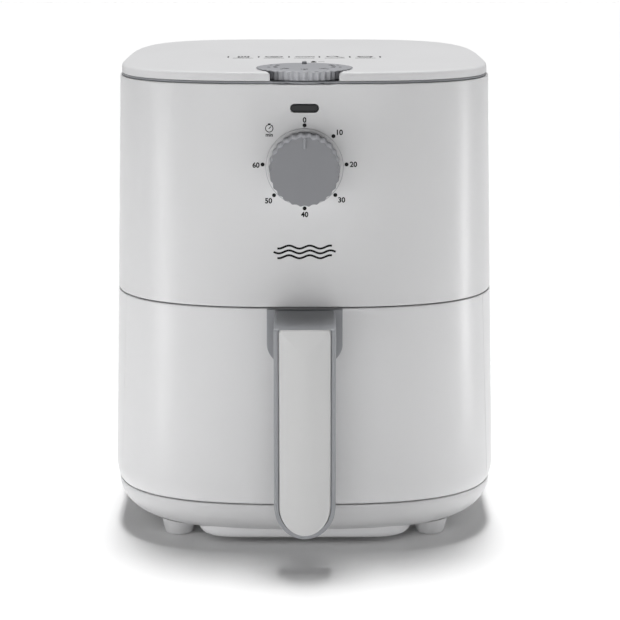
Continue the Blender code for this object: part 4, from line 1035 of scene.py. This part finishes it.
class Prints:
    """Marks gathered into one thin piece on one surface."""

    def __init__(self, place):
        self.place = place
        self.points, self.faces = [], []

    def add(self, mark, u, v, turn=0.0):
        points, faces = mark
        cosine, sine = math.cos(turn), math.sin(turn)
        start = sum(len(group) for group in self.points)
        across = points[:, 0] * cosine - points[:, 1] * sine + u
        up = points[:, 0] * sine + points[:, 1] * cosine + v
        self.points.append(self.place(across, up, PRINT_THICK * (1.5 + points[:, 2])))
        self.faces += [tuple(start + index for index in face) for face in faces]

    def made(self, name, body, look, slot):
        show(solid(name, np.concatenate(self.points), self.faces), body, (), look, slot)


def on_front(x, z, rise):
    return columns(x, front_depth(x, z) - rise, z)


def on_lid(x, y, rise):
    return columns(x, y, LID_TOP + rise)


def on_dial(x, y, rise):
    return columns(x, DIAL.y + y, DIAL_TOP + rise)


def timer_scale():
    """Seven dots round the knob with their minutes, and a clock sign."""
    prints = Prints(on_front)
    for _, degrees, _, _ in TIMER_MARKS:
        angle = math.radians(degrees)
        reach = SCALE_RADIUS - (0 if degrees else SCALE_TOP_DROP)
        prints.add(disc(SCALE_DOT), reach * math.sin(angle), TIMER.z + reach * math.cos(angle))
    for minutes, _, x, z in TIMER_MARKS:
        prints.add(flat_text(minutes, 0.0035, 0.032), x, z)
    x, z = CLOCK
    prints.add(ring_stroke(0.0023, 0.0005), x, z)
    prints.add(dash(0.0008, CLOCK_LINE), x, z + 0.0028)
    prints.add(stroke([(0, 0), (0, 0.0007)], CLOCK_LINE), x, z + 0.0021)
    prints.add(stroke([(0.0015, 0.0014), (0.0020, 0.0019)], CLOCK_LINE), x, z)
    prints.add(stroke([(-0.0003, -0.0003), (0.0011, 0.0012)], 0.0005), x, z)
    prints.add(flat_text("min", 0.0022, 0.03), x, z - 0.0040)
    prints.made("timer_scale", "housing", "print_black", "lens_dark")


def bezel_shadow_line():
    """A fine grey circle round the knob: painted shade standing in for the shadow in the gap at the bezel.
    """
    prints = Prints(on_front)
    prints.add(ring_stroke(0.0240, 0.0008, 120), 0, TIMER.z - SCALE_TOP_DROP)
    prints.made("bezel_shadow_line", "housing", "dial_grey", "knob_grey")


def front_emblem():
    """Three wavy lines, the middle one the longest."""
    half, step, height, wave, line_width = EMBLEM
    prints = Prints(on_front)
    span = np.linspace(-half, half, 60)
    for line in (-1, 0, 1):
        x = span * (1 - EMBLEM_TAPER * abs(line))
        path = np.stack([x, wave * np.sin(x * EMBLEM_TURNS)], axis=1)
        prints.add(stroke(path, line_width), 0, height + line * step)
    prints.made("front_emblem", "housing", "print_black", "lens_dark")


def food_marks():
    """Five plain food pictures as outlines: chips, a cutlet, a fish, a drumstick and a bun."""
    turn = np.linspace(0, math.tau, 28)
    cosine, sine = np.cos(turn), np.sin(turn)
    box = [(-0.0026, 0), (-0.002, -0.004), (0.002, -0.004), (0.0026, 0), (-0.0026, 0)]
    chips = [box] + [[(x, 0), (x * 1.25, 0.0034)] for x in (-0.0018, -0.0006, 0.0006, 0.0018)]
    rind = np.stack([0.0038 * cosine, 0.0026 * sine + 0.0008 * np.cos(2 * turn)], axis=1)
    cutlet = [rind, [(-0.0016, 0.0008), (0.0, 0.0), (0.0018, 0.0006)]]
    body = np.stack([0.0032 * cosine - 0.0006, 0.0018 * sine], axis=1)
    fish = [body, [(0.0026, 0), (0.0044, 0.0016), (0.0044, -0.0016), (0.0026, 0)]]
    meat = np.stack([0.0024 * cosine - 0.001, 0.0022 * sine + 0.0008], axis=1)
    drumstick = [meat, [(0.0008, -0.0006), (0.0036, -0.0028)], [(0.0030, -0.0034), (0.0042, -0.0024)]]
    top = np.stack([0.0034 * cosine[:15], 0.0026 * sine[:15]], axis=1)
    cup = [(-0.003, -0.0006), (-0.0022, -0.0036), (0.0022, -0.0036), (0.003, -0.0006)]
    bun = [top, [(-0.0034, 0), (0.0034, 0)], cup]
    return chips, cutlet, fish, drumstick, bun


def lid_prints():
    """A row of food pictures between ticks, and a thermometer behind the dial."""
    prints = Prints(on_lid)
    for place in range(6):
        tick = stroke([(0, -0.0045), (0, 0.0045)], LID_LINE)
        prints.add(tick, (place - 2.5) * FOOD_STEP, 0.0190)
    for place, picture in enumerate(food_marks()):
        x = (place - 2) * FOOD_STEP
        for line in picture:
            prints.add(stroke(np.array(line) * FOOD_SCALE, LID_LINE), x, 0.0200)
        prints.add(dash(0.0068, 0.0012), x, 0.0098)
    for half, width, x, y in THERMOMETER:
        prints.add(dash(half, width), x, y)
    prints.made("lid_scale", "housing", "print_black", "lens_dark")


def dial_prints():
    prints = Prints(on_dial)
    for place, value in enumerate(("80", "100", "120", "140", "160", "180", "200")):
        angle = math.radians(-90 + (place - 3) * DIAL_STEP)
        across, along = math.cos(angle), math.sin(angle)
        prints.add(disc(0.0010, 16), DIAL_DOTS * across, DIAL_DOTS * along)
        number = flat_text(value, 0.0026, 0.03)
        prints.add(number, DIAL_NUMBERS * across, DIAL_NUMBERS * along, angle + math.pi / 2)
    prints.made("dial_scale", "dial", "print_dark", "lens_dark")


# ---------------------------------------------------------------- CAD nodes that keep their shape


def carried_nodes():
    """The CAD nodes that keep their own shape take their finish here."""
    for name, node in frame["nodes"].items():
        node.data.materials.clear()
        node.data.materials.append(looks[slots[name]])
        smooth(node.data, 32)


# ---------------------------------------------------------------- stage, lights and camera


def area_light(name, energy, size, size_y, place, aim):
    data = bpy.data.lights.new(name, "AREA")
    data.shape = "RECTANGLE"
    data.energy = energy
    data.size = size
    data.size_y = size_y
    light = link(bpy.data.objects.new(name, data))
    light.location = place
    light.rotation_euler = (Vector(aim) - Vector(place)).to_track_quat("-Z", "Y").to_euler()


def studio_world():
    """A white backdrop that adds only a little light."""
    world = bpy.data.worlds.new("studio")
    bpy.context.scene.world = world
    world.use_nodes = True
    nodes, links = world.node_tree.nodes, world.node_tree.links
    background = nodes["Background"]
    background.inputs["Color"].default_value = (1, 1, 1, 1)
    path = nodes.new("ShaderNodeLightPath")
    strength = nodes.new("ShaderNodeMapRange")
    strength.inputs["To Min"].default_value = WORLD_LIGHT
    strength.inputs["To Max"].default_value = 1.0
    links.new(path.outputs["Is Camera Ray"], strength.inputs["Value"])
    links.new(strength.outputs["Result"], background.inputs["Strength"])


def studio_floor():
    bm = bmesh.new()
    bmesh.ops.create_grid(bm, x_segments=2, y_segments=2, size=FLOOR_HALF)
    mesh = bpy.data.meshes.new("floor")
    bm.to_mesh(mesh)
    bm.free()
    floor = link(bpy.data.objects.new("floor", mesh))
    surface = Surface("floor_look", 0.9, specular=0.0)
    tone = surface.ranged(surface.noise(3, 2), 0, 1)
    surface.set("Base Color", surface.mixed(tone, (0.93, 0.93, 0.93, 1), (0.95, 0.95, 0.95, 1)))
    mesh.materials.append(surface.material)


def lights():
    for index, (energy, tilt) in enumerate(OVERHEAD):
        name = f"overhead_{index}"
        overhead = link(bpy.data.objects.new(name, bpy.data.lights.new(name, "SUN")))
        overhead.data.energy = energy
        overhead.data.angle = math.radians(OVERHEAD_SPREAD)
        overhead.rotation_euler = (-math.radians(tilt), 0, 0)
    for row in AREA_LIGHTS:
        area_light(*row)


def stage():
    scene = bpy.context.scene
    scene.view_settings.view_transform = "Standard"
    scene.view_settings.look = "None"
    studio_world()
    studio_floor()
    lights()
    camera = link(bpy.data.objects.new("camera", bpy.data.cameras.new("camera")))
    camera.data.lens = LENS_LENGTH
    camera.data.sensor_width = 36
    camera.location = (EYE_ACROSS, WIDE_LINE - EYE_DISTANCE, EYE_HEIGHT)
    camera.rotation_euler = (math.radians(90 - EYE_DOWN), 0, math.radians(EYE_TURN))
    scene.camera = camera


carried_nodes()
lower_shells()
upper_shell()
base()
lid()
top_trim()
rear_fittings()
timer_knob()
indicator()
temperature_dial()
handle_grip()
handle_insert()
handle_bracket()
bowl()
tray()
timer_scale()
bezel_shadow_line()
front_emblem()
lid_prints()
dial_prints()
stage()
